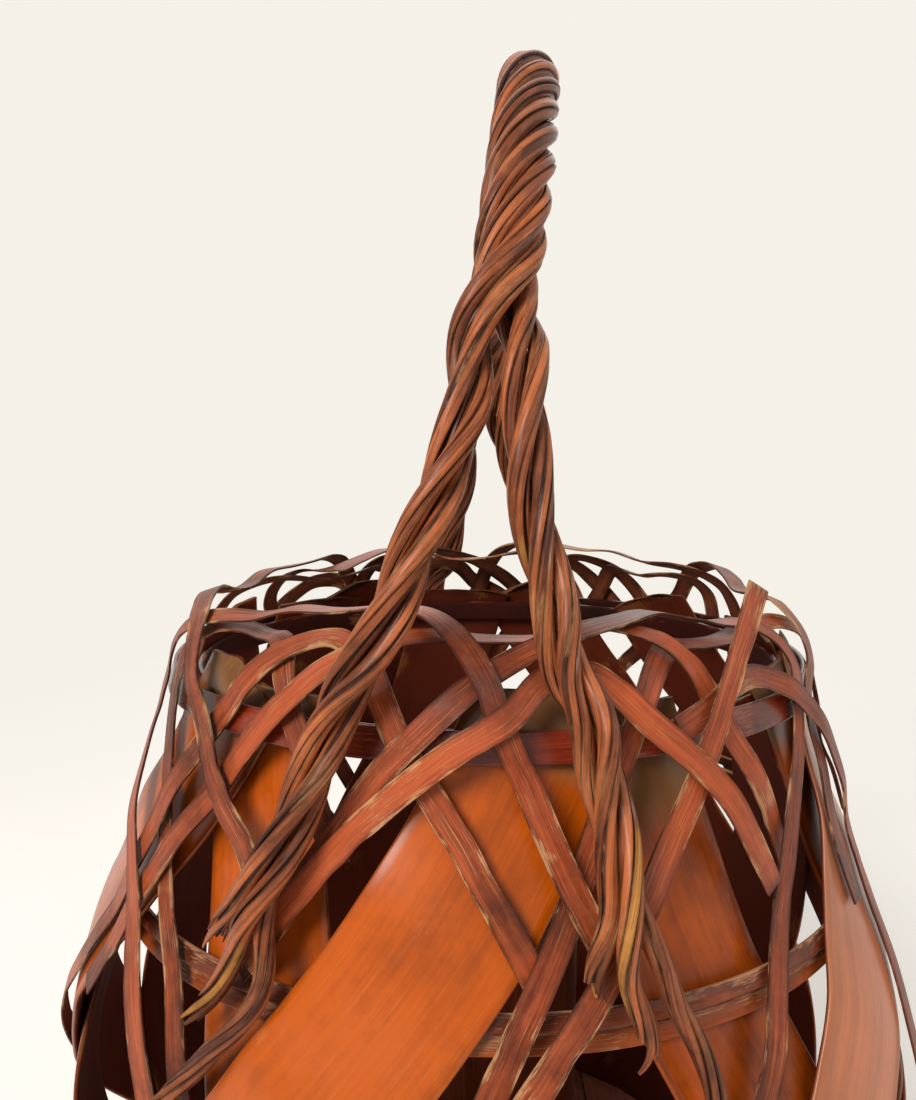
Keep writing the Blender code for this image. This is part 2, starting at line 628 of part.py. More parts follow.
def finish_feet(strands, side, at_front):
    """Give the three strands of one leg their own ends on the wall."""
    turned = [strand if at_front else turned_half_round(strand[::-1]) for strand in strands]
    from_left = sorted(turned, key=lambda strand: strand[foot_lead][0])
    finished = []
    for strand in turned:
        place = next(index for index, other in enumerate(from_left) if other is strand)
        turn_share = 0 if at_front else back_turn_share
        wall_knots = foot_knots(STRAND_END_SHARES[side][place], LEG_FOOT_SHARES[side], turn_share)
        knots = np.vstack([wall_knots, strand[[foot_lead, foot_blend]]])
        blend = smooth_through(knots, lay_cell)
        keep = np.argmin(np.linalg.norm(blend - strand[foot_blend], axis=1))
        strand = np.vstack([blend[:keep], strand[foot_blend:]])
        finished.append(strand if at_front else turned_half_round(strand)[::-1])
    return finished


def round_bar(name, path, diameter, sides, dip, colour):
    """A bar of many-sided section along a dense path."""
    stations = spread_stations(path, dip)
    spots = path[stations]
    headings = unit(np.gradient(path, axis=0))[stations]
    side = unit(np.cross(headings[0], np.array([0.0, 1.0, 0])))
    rings = []
    for spot, heading in zip(spots, headings):
        side = unit(side - heading * np.dot(side, heading))
        other = np.cross(heading, side)
        angles = turn * np.arange(sides) / sides
        rings.append([spot + (side * math.cos(angle) + other * math.sin(angle)) * diameter / 2
                      for angle in angles])
    return finish(name, loft(rings, closed=False), colour, 0.45, round_angle)


def twist_handle():
    """Six strands: three up each front leg, all six over the mouth, and three down each back leg."""
    groups = (("left", "right", turn / 2, (0, 1)), ("right", "left", 0, (1, 0)))
    for label, (front_side, back_side, start_phase, top_strands) in zip("ab", groups):
        strands = strand_group(front_side, back_side, start_phase, top_strands)
        strands = finish_feet(strands, front_side, True)
        strands = finish_feet(strands, back_side, False)
        for number, strand in enumerate(strands, 1):
            round_bar(f"handle_strand_{label}{number}", strand, strand_diameter, strand_sides,
                      strand_facet_dip, STEM)


def cut_water_tube():
    """The water tube: a length of culm closed near its foot by its own node."""
    low = foot_hoop_height + 2 * (slat_thickness + seat_gap) + seat_gap
    high = low + tube_height
    node = low + tube_node_level
    ridge = tube_radius + tube_node_ridge
    bore = tube_radius - tube_wall
    outline = ((0, node - tube_node_thickness / 2), (bore, node - tube_node_thickness / 2), (bore, low),
               (tube_radius, low), (tube_radius, node - tube_node_thickness / 2), (ridge, node),
               (tube_radius, node + tube_node_thickness / 2), (tube_radius, high - tube_lip_bevel),
               (tube_radius - tube_lip_bevel, high), (bore, high), (bore, node + tube_node_thickness / 2),
               (0, node + tube_node_thickness / 2))
    builder = bmesh.new()
    corners = [builder.verts.new((radius, 0, level)) for radius, level in outline]
    edges = [builder.edges.new(pair) for pair in zip(corners, corners[1:])]
    bmesh.ops.spin(builder, geom=corners + edges, cent=(0, 0, 0), axis=(0, 0, 1), angle=turn,
                   steps=tube_facets, use_merge=True)
    bmesh.ops.remove_doubles(builder, verts=builder.verts, dist=merge_reach)
    finish("water_tube", builder, CULM, 0.45)


lay_wall()
lay_foot()
twist_handle()
cut_water_tube()
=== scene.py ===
"""Looks of the ikebana basket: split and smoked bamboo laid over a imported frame, in metres, +Z up."""

import math

import bpy
import numpy as np
from mathutils import Matrix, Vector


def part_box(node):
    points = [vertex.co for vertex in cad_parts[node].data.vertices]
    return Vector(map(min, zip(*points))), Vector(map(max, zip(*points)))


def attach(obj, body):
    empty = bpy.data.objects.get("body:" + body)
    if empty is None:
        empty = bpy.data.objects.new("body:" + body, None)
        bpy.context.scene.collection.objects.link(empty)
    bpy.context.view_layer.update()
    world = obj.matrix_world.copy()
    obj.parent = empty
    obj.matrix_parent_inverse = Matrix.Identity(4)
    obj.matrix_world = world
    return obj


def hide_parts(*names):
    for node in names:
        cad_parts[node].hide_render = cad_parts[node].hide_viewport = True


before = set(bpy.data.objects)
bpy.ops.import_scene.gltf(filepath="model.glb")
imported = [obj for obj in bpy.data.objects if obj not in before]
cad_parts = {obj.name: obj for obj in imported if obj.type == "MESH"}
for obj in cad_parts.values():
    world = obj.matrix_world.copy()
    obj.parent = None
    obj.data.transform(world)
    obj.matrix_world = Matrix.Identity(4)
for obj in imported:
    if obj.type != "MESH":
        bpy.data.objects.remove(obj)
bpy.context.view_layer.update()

# Plates that lean left.
# Broad plates split from a thick culm, bent while hot, smoked and lacquered. They are laid first, with the
# culm's glossy skin outside, and the two foot hoops and the two rim hoops clamp their ends.
plate_width = 0.037
plate_thickness = 0.0016
plate_edge = 0.00055
plate_waver = 0.0004
plate_step = 0.0025
plate_columns = 17
plate_crease = 30
plate_stub = 0.0080
stub_roll = 0.012
stub_shares = np.array([0.25, 0.5, 0.75, 1])
left_plate_tones = (0.92, 0.50, 0.42, 0.55, 0.30, 0.58, 0.44)
aged_end = 0.022
long_aged_end = 0.042
edge_rub = 0.0013
end_rub = 0.003
# How far the painted shade reaches in from a plate's edges and down from its upper end.
edge_shade_reach = 0.010
hoop_shade_reach = 0.050
waver_reach = 0.035
swell_reach = 0.05
table_gap = 0.0002
crisp_angle = math.radians(50)


def paint(red, green, blue):
    """A colour as a shader wants it, from the values that a screen shows it with."""
    return tuple((c / 12.92 if c <= 0.04045 else ((c + 0.055) / 1.055) ** 2.4)
                 for c in (red / 255, green / 255, blue / 255)) + (1.0,)


def add_node(tree, kind, sockets=None, **settings):
    """A node with its settings made, and each named socket given a value or a link."""
    made = tree.nodes.new(kind)
    for setting, value in settings.items():
        setattr(made, setting, value)
    for socket, value in (sockets or {}).items():
        if isinstance(value, bpy.types.NodeSocket):
            tree.links.new(value, made.inputs[socket])
        else:
            made.inputs[socket].default_value = value
    return made


def worked_out(tree, operation, *values, clamp=False):
    """The result of one operation on numbers."""
    return add_node(tree, "ShaderNodeMath", dict(enumerate(values)), operation=operation,
                    use_clamp=clamp).outputs[0]


def stretched(tree, vector, sizes):
    """The vector with each of its axes multiplied by its own size."""
    return add_node(tree, "ShaderNodeVectorMath", {0: vector, 1: sizes}, operation="MULTIPLY").outputs[0]


def ranged(tree, value, low, high, start=0, end=1):
    """The value brought from low and high to start and end, and held between them."""
    return add_node(tree, "ShaderNodeMapRange", {"Value": value, "From Min": low, "From Max": high,
                                                 "To Min": start, "To Max": end}).outputs[0]


def noise(tree, vector, scale, detail, roughness):
    """Noise over the vector."""
    return add_node(tree, "ShaderNodeTexNoise", {"Vector": vector, "Scale": scale, "Detail": detail,
                                                 "Roughness": roughness}).outputs["Fac"]


def mixed(tree, share, first, second):
    """The first colour, turned to the second by the share."""
    return add_node(tree, "ShaderNodeMix", {0: share, 6: first, 7: second}, data_type="RGBA").outputs[2]


def mesh_mark(tree, name):
    """One of the marks that the mesh carries at its points."""
    return add_node(tree, "ShaderNodeAttribute", attribute_name=name).outputs["Fac"]


def start_group(name, inputs, outputs):
    """An empty shader group with its sockets made."""
    group = bpy.data.node_groups.new(name, "ShaderNodeTree")
    for socket, value in inputs.items():
        made = group.interface.new_socket(socket, in_out="INPUT", socket_type="NodeSocketFloat")
        made.default_value = value
    for socket in outputs:
        group.interface.new_socket(socket, in_out="OUTPUT", socket_type="NodeSocketFloat")
    return group, group.nodes.new("NodeGroupInput"), group.nodes.new("NodeGroupOutput")


def make_fibre_group():
    """Streaks, hair-fine fibres, long pale scratches and slow patches along the split, from the grain map,
    and a fine mottle over the whole object."""
    group, given, out = start_group("bamboo fibres", {"Along": 9, "Across": 420},
                                    ("Streaks", "Hairs", "Scratches", "Patches", "Mottle"))
    grain = add_node(group, "ShaderNodeUVMap", uv_map="grain").outputs[0]
    sizes = add_node(group, "ShaderNodeCombineXYZ",
                     {"X": given.outputs["Along"], "Y": given.outputs["Across"]}).outputs[0]
    apart = stretched(group, mesh_mark(group, "tone"), (13.7, 7.3, 31.0))
    placed = add_node(group, "ShaderNodeVectorMath",
                      {0: stretched(group, grain, sizes), 1: apart}).outputs[0]
    for socket, finer, detail, roughness, low, high in (
            ("Streaks", (1.0, 1.0, 1.0), 5, 0.66, 0.32, 0.68),
            ("Hairs", (3.0, 3.2, 1.0), 3, 0.60, 0.30, 0.70),
            ("Scratches", (5.0, 6.0, 1.7), 2, 0.50, 0.60, 0.76),
            ("Patches", (2.2, 0.20, 2.3), 4, 0.60, 0.30, 0.70)):
        drawn = noise(group, stretched(group, placed, finer), 1, detail, roughness)
        group.links.new(ranged(group, drawn, low, high), out.inputs[socket])
    place = add_node(group, "ShaderNodeTexCoord").outputs["Object"]
    speckled = noise(group, place, 190, 6, 0.78)
    group.links.new(ranged(group, speckled, 0.34, 0.66), out.inputs["Mottle"])
    return group


def make_wear_group():
    """Where edges and crowns are rubbed pale in places, and where it is darker: in smoky patches and
    towards its edges.
    """
    group, given, out = start_group("rubbed and stained", {"Wear": 0.5, "Stain": 0.5},
                                    ("Rubbed", "Stained"))
    place = add_node(group, "ShaderNodeTexCoord").outputs["Object"]
    grain = add_node(group, "ShaderNodeUVMap", uv_map="grain").outputs[0]
    edge = mesh_mark(group, "edge")
    edge_weight = 0.22
    patch_weight = 1.35
    rim_power = 1.6
    rim_weight = 0.8
    broken = noise(group, stretched(group, grain, (170.0, 2300.0, 1.0)), 1, 5, 0.75)
    patch = noise(group, place, 46, 3, 0.6)
    summed = worked_out(group, "ADD", worked_out(group, "MULTIPLY", edge, edge_weight), broken)
    patched = worked_out(group, "MULTIPLY_ADD", patch, patch_weight, summed)
    worn = ranged(group, patched, 1.41, 1.55)
    rubbed = worked_out(group, "MULTIPLY", worn, given.outputs["Wear"])
    group.links.new(rubbed, out.inputs["Rubbed"])
    dark = ranged(group, noise(group, place, 19, 6, 0.68), 0.48, 0.68)
    # The edges come out darker.
    rim = worked_out(group, "POWER", edge, rim_power)
    rimmed = worked_out(group, "MULTIPLY_ADD", rim, rim_weight, dark, clamp=True)
    stained = worked_out(group, "MULTIPLY", rimmed, given.outputs["Stain"])
    group.links.new(stained, out.inputs["Stained"])
    return group


fibre_group = make_fibre_group()
wear_group = make_wear_group()


def bamboo(name, deep, bright, inner, rubbed, smoke, roughness, coat, along, across, wear, stain, relief,
           hairs=0.3):
    """Smoked bamboo: streaks from deep to bright on the skin, a dull inner face, pale rubs and dark smoke.
    The marks of the mesh paint shade onto the skin, paint a pale sheen over it, or grey it with age."""
    # A pale colour painted over a skin as a sheen, in place of the room's reflection at a grazing angle.
    sheen_pale = paint(214, 152, 116)
    greyed = paint(126, 88, 52)
    streak_weight = 0.42
    patch_weight = 0.72
    mottle_weight = 0.22
    tone_weight = 0.9
    tone_base = -0.47
    scratch_weight = 0.85
    pith_hairs = 0.45
    age_weight = 1.5
    grey_weight = 0.85
    made = bpy.data.materials.new(name)
    made.use_nodes = True
    tree = made.node_tree
    shader = tree.nodes["Principled BSDF"]
    fibres = add_node(tree, "ShaderNodeGroup", {"Along": along, "Across": across}, node_tree=fibre_group)
    marks = add_node(tree, "ShaderNodeGroup", {"Wear": wear, "Stain": stain}, node_tree=wear_group)
    streaks = fibres.outputs["Streaks"]
    hair = fibres.outputs["Hairs"]
    patches = fibres.outputs["Patches"]
    on_skin = mesh_mark(tree, "skin")
    rippled = worked_out(tree, "MULTIPLY_ADD", patches, patch_weight,
                         worked_out(tree, "MULTIPLY", streaks, streak_weight))
    lifted = worked_out(tree, "MULTIPLY_ADD", mesh_mark(tree, "tone"), tone_weight, tone_base)
    speckled = worked_out(tree, "MULTIPLY_ADD", fibres.outputs["Mottle"], mottle_weight, lifted)
    # Painted shade: where the mesh carries it, the colour is made darker.
    with_painted_shade = worked_out(tree, "MULTIPLY_ADD", mesh_mark(tree, "painted_shade"), -1, speckled)
    shade = worked_out(tree, "ADD", rippled, with_painted_shade, clamp=True)
    colour = mixed(tree, shade, deep, bright)
    colour = mixed(tree, worked_out(tree, "MULTIPLY", hair, hairs), colour, deep)
    # Pale scratches: real wear, and on the narrow strips also a painted sheen.
    scratches_and_sheen = worked_out(tree, "MULTIPLY", fibres.outputs["Scratches"], wear * scratch_weight)
    colour = mixed(tree, scratches_and_sheen, colour, rubbed)
    pith = mixed(tree, worked_out(tree, "MULTIPLY", hair, pith_hairs), inner, deep)
    colour = mixed(tree, on_skin, pith, colour)
    ribbed = ranged(tree, streaks, 0, 1, 0.75, 1)
    # Painted sheen: where the mesh carries it, the skin is turned pale along its streaks.
    painted_sheen = worked_out(tree, "MULTIPLY", mesh_mark(tree, "painted_sheen"), ribbed)
    colour = mixed(tree, painted_sheen, colour, sheen_pale)
    mottled = worked_out(tree, "MULTIPLY_ADD", mesh_mark(tree, "aged"), age_weight, patches)
    aged = worked_out(tree, "MULTIPLY", ranged(tree, mottled, 1.0, 1.9), grey_weight)
    colour = mixed(tree, aged, colour, greyed)
    colour = mixed(tree, marks.outputs["Stained"], colour, smoke)
    colour = mixed(tree, marks.outputs["Rubbed"], colour, rubbed)
    tree.links.new(colour, shader.inputs["Base Color"])
    uneven = ranged(tree, patches, 0, 1, roughness + 0.07, roughness - 0.05)
    dulled = worked_out(tree, "MULTIPLY_ADD", marks.outputs["Rubbed"], 0.3, uneven)
    tree.links.new(ranged(tree, on_skin, 0, 1, 0.8, dulled), shader.inputs["Roughness"])
    shader.inputs["Specular IOR Level"].default_value = 0.14
    if coat:
        tree.links.new(worked_out(tree, "MULTIPLY", on_skin, coat), shader.inputs["Coat Weight"])
    shader.inputs["Coat Roughness"].default_value = 0.25
    height = worked_out(tree, "MULTIPLY_ADD", hair, 0.6, streaks)
    bump = add_node(tree, "ShaderNodeBump", {"Height": height, "Distance": relief})
    tree.links.new(bump.outputs[0], shader.inputs["Normal"])
    return made


def points_of(mesh):
    """The places of a mesh's points."""
    return np.array([tuple(vertex.co) for vertex in mesh.vertices])


def laid_rings(node, crease, broad=False):
    """The rings of corners of a laid strip's solid, from one end to the other: the outer face's left and
    right corners, then the inner face's. A broad plate has two more points across each face. A solid with
    more sides than four gives its corners in the order in which they are found."""
    parts_per_metre = 1e5
    shortest_rail = 0.045
    end_reach = 0.045
    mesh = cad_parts[node].data
    spots = points_of(mesh)
    faces = np.array([tuple(polygon.vertices) for polygon in mesh.polygons])
    _, first, merged = np.unique(np.round(spots * parts_per_metre).astype(int), axis=0, return_index=True,
                                 return_inverse=True)
    spots = spots[first]
    faces = merged.reshape(-1)[faces]
    corner = [spots[faces[:, index]] for index in range(3)]
    normals = np.cross(corner[1] - corner[0], corner[2] - corner[0])
    normals /= np.linalg.norm(normals, axis=1)[:, None]
    beside = {}
    for number, face in enumerate(faces):
        for start, end in ((face[0], face[1]), (face[1], face[2]), (face[2], face[0])):
            beside.setdefault((min(start, end), max(start, end)), []).append(number)
    creases = {}
    for (start, end), (left, right) in beside.items():
        if np.dot(normals[left], normals[right]) < math.cos(math.radians(crease)):
            creases.setdefault(start, []).append(end)
            creases.setdefault(end, []).append(start)
    ends = sorted(spot for spot, others in creases.items() if len(others) == 3)
    rails = []
    for end in ends:
        for step in creases[end]:
            run = [end, step]
            while len(creases[run[-1]]) == 2:
                run.append(next(other for other in creases[run[-1]] if other != run[-2]))
            if np.linalg.norm(np.diff(spots[run], axis=0), axis=1).sum() > shortest_rail:
                rails.append(run)
    near = [rail for rail in rails if np.linalg.norm(spots[rail[0]] - spots[rails[0][0]]) < end_reach]
    rings = np.stack([spots[rail] for rail in near], axis=1)
    if rings.shape[1] != 4:
        return rings
    if rings[0, :, 2].mean() > rings[-1, :, 2].mean():
        rings = rings[::-1]
    widest = np.argmax(np.hypot(rings[:, :, 0], rings[:, :, 1]).mean(axis=1)[1:-1]) + 1
    ring = rings[widest]
    partner = int(np.argsort(np.linalg.norm(ring - ring[0], axis=1))[1])
    others = [index for index in range(4) if index not in (0, partner)]
    pairs = [sorted(pair, key=lambda index: -math.hypot(*ring[index][:2]))
             for pair in ((0, partner), others)]
    outward = ring[pairs[0][0]] - ring[pairs[0][1]]
    heading = rings[widest + 1].mean(axis=0) - rings[widest - 1].mean(axis=0)
    side = np.cross(heading, outward)
    pairs.sort(key=lambda pair: np.dot(ring[pair[0]], side))
    rings = rings[:, [pairs[0][0], pairs[1][0], pairs[1][1], pairs[0][1]]]
    if broad:
        full = []
        for left, right, inner_right, inner_left in rings:
            out = left - inner_left
            row = [left], [inner_left]
            for share in (1 / 3, 2 / 3):
                aim = (left + inner_left) / 2 * (1 - share) + (right + inner_right) / 2 * share
                two = spots[np.argsort(np.linalg.norm(spots - aim, axis=1))[:2]]
                two = sorted(two, key=lambda spot: -np.dot(spot, out))
                row[0].append(two[0])
                row[1].append(two[1])
            row[0].append(right)
            row[1].append(inner_right)
            full.append(row[0] + row[1][::-1])
        rings = np.array(full)
    return rings


def eased(rings, step):
    """The same rings on a smooth curve, read off about every step along it, and how far along each lies."""
    middles = rings.mean(axis=1)
    spans = np.linalg.norm(np.diff(middles, axis=0), axis=1)
    flat = rings.reshape(len(rings), -1)
    slopes = np.diff(flat, axis=0) / spans[:, None]
    weights = (spans[:-1] / (spans[:-1] + spans[1:]))[:, None]
    inner = slopes[:-1] * (1 - weights) + slopes[1:] * weights
    tangents = np.vstack([slopes[:1], inner, slopes[-1:]])
    pieces = []
    for index, span in enumerate(spans):
        count = max(1, math.ceil(span / step))
        u = (np.arange(count) / count)[:, None]
        pieces.append(flat[index] * (2 * u**3 - 3 * u**2 + 1)
                      + tangents[index] * span * (u**3 - 2 * u**2 + u)
                      + flat[index + 1] * (3 * u**2 - 2 * u**3)
                      + tangents[index + 1] * span * (u**3 - u**2))
    fine = np.vstack(pieces + [flat[-1:]]).reshape(-1, rings.shape[1], 3)
    along = np.concatenate([[0], np.cumsum(np.linalg.norm(np.diff(fine.mean(axis=1), axis=0), axis=1))])
    return fine, along


def wander(along, reach, amount, chance):
    """A gentle random drift along a piece, with a new aim about every reach."""
    count = max(4, math.ceil(along[-1] / reach) + 3)
    aims = chance.uniform(-amount, amount, count)
    spot = along / reach + 0.5
    index = np.minimum(spot.astype(int), count - 2)
    share = spot - index
    share = share * share * (3 - 2 * share)
    return aims[index] * (1 - share) + aims[index + 1] * share


def strip_section(width, thickness, edge, across, crown):
    """Points round a strip's section as (share of the width, share of the thickness), with soft edges."""
    ease = 0.3
    side = edge / width
    top = edge / thickness
    outer = [(share, 1 - crown / thickness * (2 * share - 1) ** 2)
             for share in np.linspace(side, 1 - side, across)]
    right = [(1 - ease * side, 1 - ease * top), (1, 1 - top), (1, top), (1 - ease * side, ease * top)]
    inner = [(share, 0) for share in np.linspace(1 - side, side, max(3, across // 2))]
    left = [(1 - share, 1 - height) for share, height in right]
    return np.array(outer + right + inner + left)


def tube_faces(rows, count, first=0):
    """The faces of a tube made of rows of points, side by side, and then those of its two ends."""
    numbers = first + np.arange(rows * count).reshape(rows, count)
    after = np.roll(numbers, -1, axis=1)
    quads = np.stack([numbers[:-1], after[:-1], after[1:], numbers[1:]], axis=-1).reshape(-1, 4)
    faces = [tuple(quad) for quad in quads.tolist()]
    return faces + [tuple(numbers[0][::-1].tolist()), tuple(numbers[-1].tolist())]


def tube_grain(along, around):
    """The grain map of a tube's sides, with four corners to a face: how far along it and how far round."""
    corners = [np.stack(np.meshgrid(lengths, turns, indexing="ij"), axis=-1)
               for lengths, turns in ((along[:-1], around[:-1]), (along[:-1], around[1:]),
                                      (along[1:], around[1:]), (along[1:], around[:-1]))]
    return np.stack(corners, axis=2)


def write_marks(mesh, marks):
    """The marks at a mesh's points, which its material reads."""
    for mark, values in marks.items():
        attribute = mesh.attributes.new(mark, "FLOAT", "POINT")
        attribute.data.foreach_set("value", np.broadcast_to(values, len(mesh.vertices)).astype(float))


def finished_mesh(name, points, faces, grain, marks, material, body, node):
    """A piece of the scene from its points and faces, with its grain map and its marks for the finish."""
    mesh = bpy.data.meshes.new(name)
    mesh.from_pydata([tuple(point) for point in points], [], faces)
    mesh.update()
    layer = mesh.uv_layers.new(name="grain")
    layer.data.foreach_set("uv", np.asarray(grain, float).ravel())
    write_marks(mesh, marks)
    mesh.shade_smooth()
    mesh.set_sharp_from_angle(angle=crisp_angle)
    piece = bpy.data.objects.new(name, mesh)
    bpy.context.scene.collection.objects.link(piece)
    mesh.materials.append(material)
    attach(piece, body)
    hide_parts(node)


def ragged_stub(points, section, length, roll, chance):
    """More rows past a plate's slanting end, that square it off, bent in and a little torn."""
    tears = 12
    last = points[-1]
    heading = (points[-1] - points[-3]).mean(axis=0)
    heading /= np.linalg.norm(heading)
    out = last.mean(axis=0) * (1, 1, 0)
    out /= np.linalg.norm(out)
    torn = np.interp(section[:, 0], np.linspace(0, 1, tears), chance.uniform(0.70, 1, tears))
    missing = (last[:, 2].max() - last[:, 2]) / max(heading[2], 0.4) + 0.1 * length
    rows = []
    for share in stub_shares:
        reach = np.minimum(missing, length) * torn * share
        rows.append(last + heading * reach[:, None] - out * (reach**2 / (2 * roll))[:, None])
    return np.vstack([points, np.array(rows)])


def laid_strip(name, node, rings, step, width, thickness, edge, across, crown, waver, tone, material, seed,
               nicks=0, stub=0, solid_thickness=None, aged=0, painted_sheen=0, painted_shade=0):
    """A strip of split bamboo over the rings of its solid, with soft edges that wander a little. Its last
    length up to the upper end can be aged, a pale sheen can be painted over its skin, and shade can be
    painted along its edges and towards its upper end."""
    nick_lengths = (0.002, 0.005)
    nick_shares = (0.03, 0.10)
    chance = np.random.default_rng(seed)
    fine, along = eased(rings, step)
    section = strip_section(width, thickness, edge, across, crown)
    left = wander(along, waver_reach, waver, chance) / width
    right = wander(along, waver_reach, waver, chance) / width
    for _ in range(nicks):
        spot = chance.uniform(0, along[-1])
        dent = np.exp(-((along - spot) / chance.uniform(*nick_lengths)) ** 2) * chance.uniform(*nick_shares)
        if chance.random() < 0.5:
            left = left + dent
        else:
            right = right - dent
    swell = 0.94 + wander(along, swell_reach, 0.06, chance)
    share = left[:, None] + section[None, :, 0] * (1 + right - left)[:, None]
    height = section[None, :, 1] * swell[:, None]
    columns = rings.shape[1] // 2
    outer = fine[:, :columns]
    inner = fine[:, columns:][:, ::-1]
    if solid_thickness:
        inner = outer + (inner - outer) * thickness / solid_thickness
    if columns == 2:
        outer_at = outer[:, None, 0] * (1 - share)[..., None] + outer[:, None, 1] * share[..., None]
        inner_at = inner[:, None, 0] * (1 - share)[..., None] + inner[:, None, 1] * share[..., None]
    else:
        weights = np.ones(share.shape + (4,))
        for index in range(4):
            for other in range(4):
                if other != index:
                    weights[..., index] *= (share * 3 - other) / (index - other)
        outer_at = np.einsum("rsk,rkx->rsx", weights, outer)
        inner_at = np.einsum("rsk,rkx->rsx", weights, inner)
    points = inner_at + (outer_at - inner_at) * height[..., None]
    points[..., 2] = np.maximum(points[..., 2], table_gap)
    if stub:
        points = ragged_stub(points, section, stub, stub_roll, chance)
        along = np.append(along, along[-1] + stub * stub_shares)
    rows, count = points.shape[:2]
    faces = [face[::-1] for face in tube_faces(rows, count)]
    flat = section * (width, thickness)
    steps = np.linalg.norm(np.roll(flat, -1, axis=0) - flat, axis=1)
    around = np.concatenate([[0], np.cumsum(steps)])
    sides = tube_grain(along, around)[:, :, ::-1].reshape(-1, 2)
    grain = np.vstack([sides, flat * 0.3, flat[::-1] * 0.3 + along[-1]])
    to_edge = np.minimum(section[:, 0], 1 - section[:, 0]) * width
    every_row = np.ones((rows, 1))
    from_end = np.minimum(along, along[-1] - along)
    rub = np.clip(1 - to_edge / edge_rub, 0, 1)[None, :] * every_row
    rub = np.maximum(rub, np.clip(1 - from_end / end_rub, 0, 1)[:, None])
    skin = np.clip((section[:, 1] - 0.35) / 0.3, 0, 1)[None, :] * every_row
    if stub:
        skin = skin * np.clip((along[-1] - along) / stub, 0.35, 1)[:, None]
        rub = np.maximum(rub, np.clip(1.3 - (along[-1] - along) / stub, 0, 1)[:, None])
    marks = {"edge": rub.ravel(), "skin": skin.ravel(), "tone": tone}
    # Painted shade: the plate is darkened along its edges and towards its upper end, where it runs in under
    # the rim hoops.
    if painted_shade:
        edge_shade_mask = np.clip(1 - to_edge / edge_shade_reach, 0, 1)[None, :]
        hoop_shade_mask = np.clip(1 - (along[-1] - along) / hoop_shade_reach, 0, 1)[:, None]
        marks["painted_shade"] = (painted_shade * np.maximum(edge_shade_mask**2, hoop_shade_mask)).ravel()
    # A painted sheen over the whole skin.
    if painted_sheen:
        marks["painted_sheen"] = skin.ravel() * painted_sheen
    if aged:
        reached = np.clip((along - along[-1] + aged) / (aged * 0.4), 0, 1)[:, None]
        marks["aged"] = (reached * (section[:, 1] > 0.5)).ravel()
    finished_mesh(name, points.reshape(-1, 3), faces, grain, marks, material, "basket", node)


def laid_plate(node, tone, material, seed, aged, painted_shade, painted_sheen=0):
    """A broad plate over its solid, with its upper end squared off."""
    laid_strip(f"{node}_split", node, laid_rings(node, plate_crease, broad=True), plate_step, plate_width,
               plate_thickness, plate_edge, plate_columns, 0, plate_waver, tone, material, seed,
               stub=plate_stub, aged=aged, painted_sheen=painted_sheen, painted_shade=painted_shade)


# The inner face colour is partly the split's own dull brown and partly painted shade: it is made darker to
# stand for the shade inside the basket.
inner_skin = bamboo("smoked plate inner", deep=paint(92, 32, 5), bright=paint(194, 86, 10),
                    inner=paint(82, 27, 10), rubbed=paint(190, 120, 66), smoke=paint(34, 10, 4),
                    roughness=0.36, coat=0.30, along=7, across=260, wear=0.20, stain=0.35, relief=0.00004,
                    hairs=0.14)
# The plates that lean left lie under the others and get stronger painted shade along their edges and under
# the hoops.
for number, tone in enumerate(left_plate_tones, 1):
    laid_plate(f"left_leaning_plate_{number}", tone, inner_skin, 100 + number,
               aged=long_aged_end if number == 2 else aged_end, painted_shade=0.55)

# Waist bands.
# Two thin bands side by side round the waist, each one long strip bent to a ring with its ends lapped.
# They go on over the plates that lean left and hold them in while the others are laid.
band_steps = 240
band_edge = 0.00040
band_lap = 0.030
band_waver = 0.00035
hoop_rub = 0.0011


def hoop_section(node):
    """The four corners of a hoop's section as (radius, height), round it from the one inside below."""
    parts_per_metre = 5e3
    spots = points_of(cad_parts[node].data)
    flat = np.column_stack([np.hypot(spots[:, 0], spots[:, 1]), spots[:, 2]])
    corners = np.unique(np.round(flat * parts_per_metre).astype(int), axis=0) / parts_per_metre
    middle = (corners.min(axis=0) + corners.max(axis=0)) / 2
    picked = []
    for out, up in ((-1, -1), (1, -1), (1, 1), (-1, 1)):
        picked.append(corners[np.argmax((corners - middle) @ np.array([out, up]))])
    return np.array(picked)


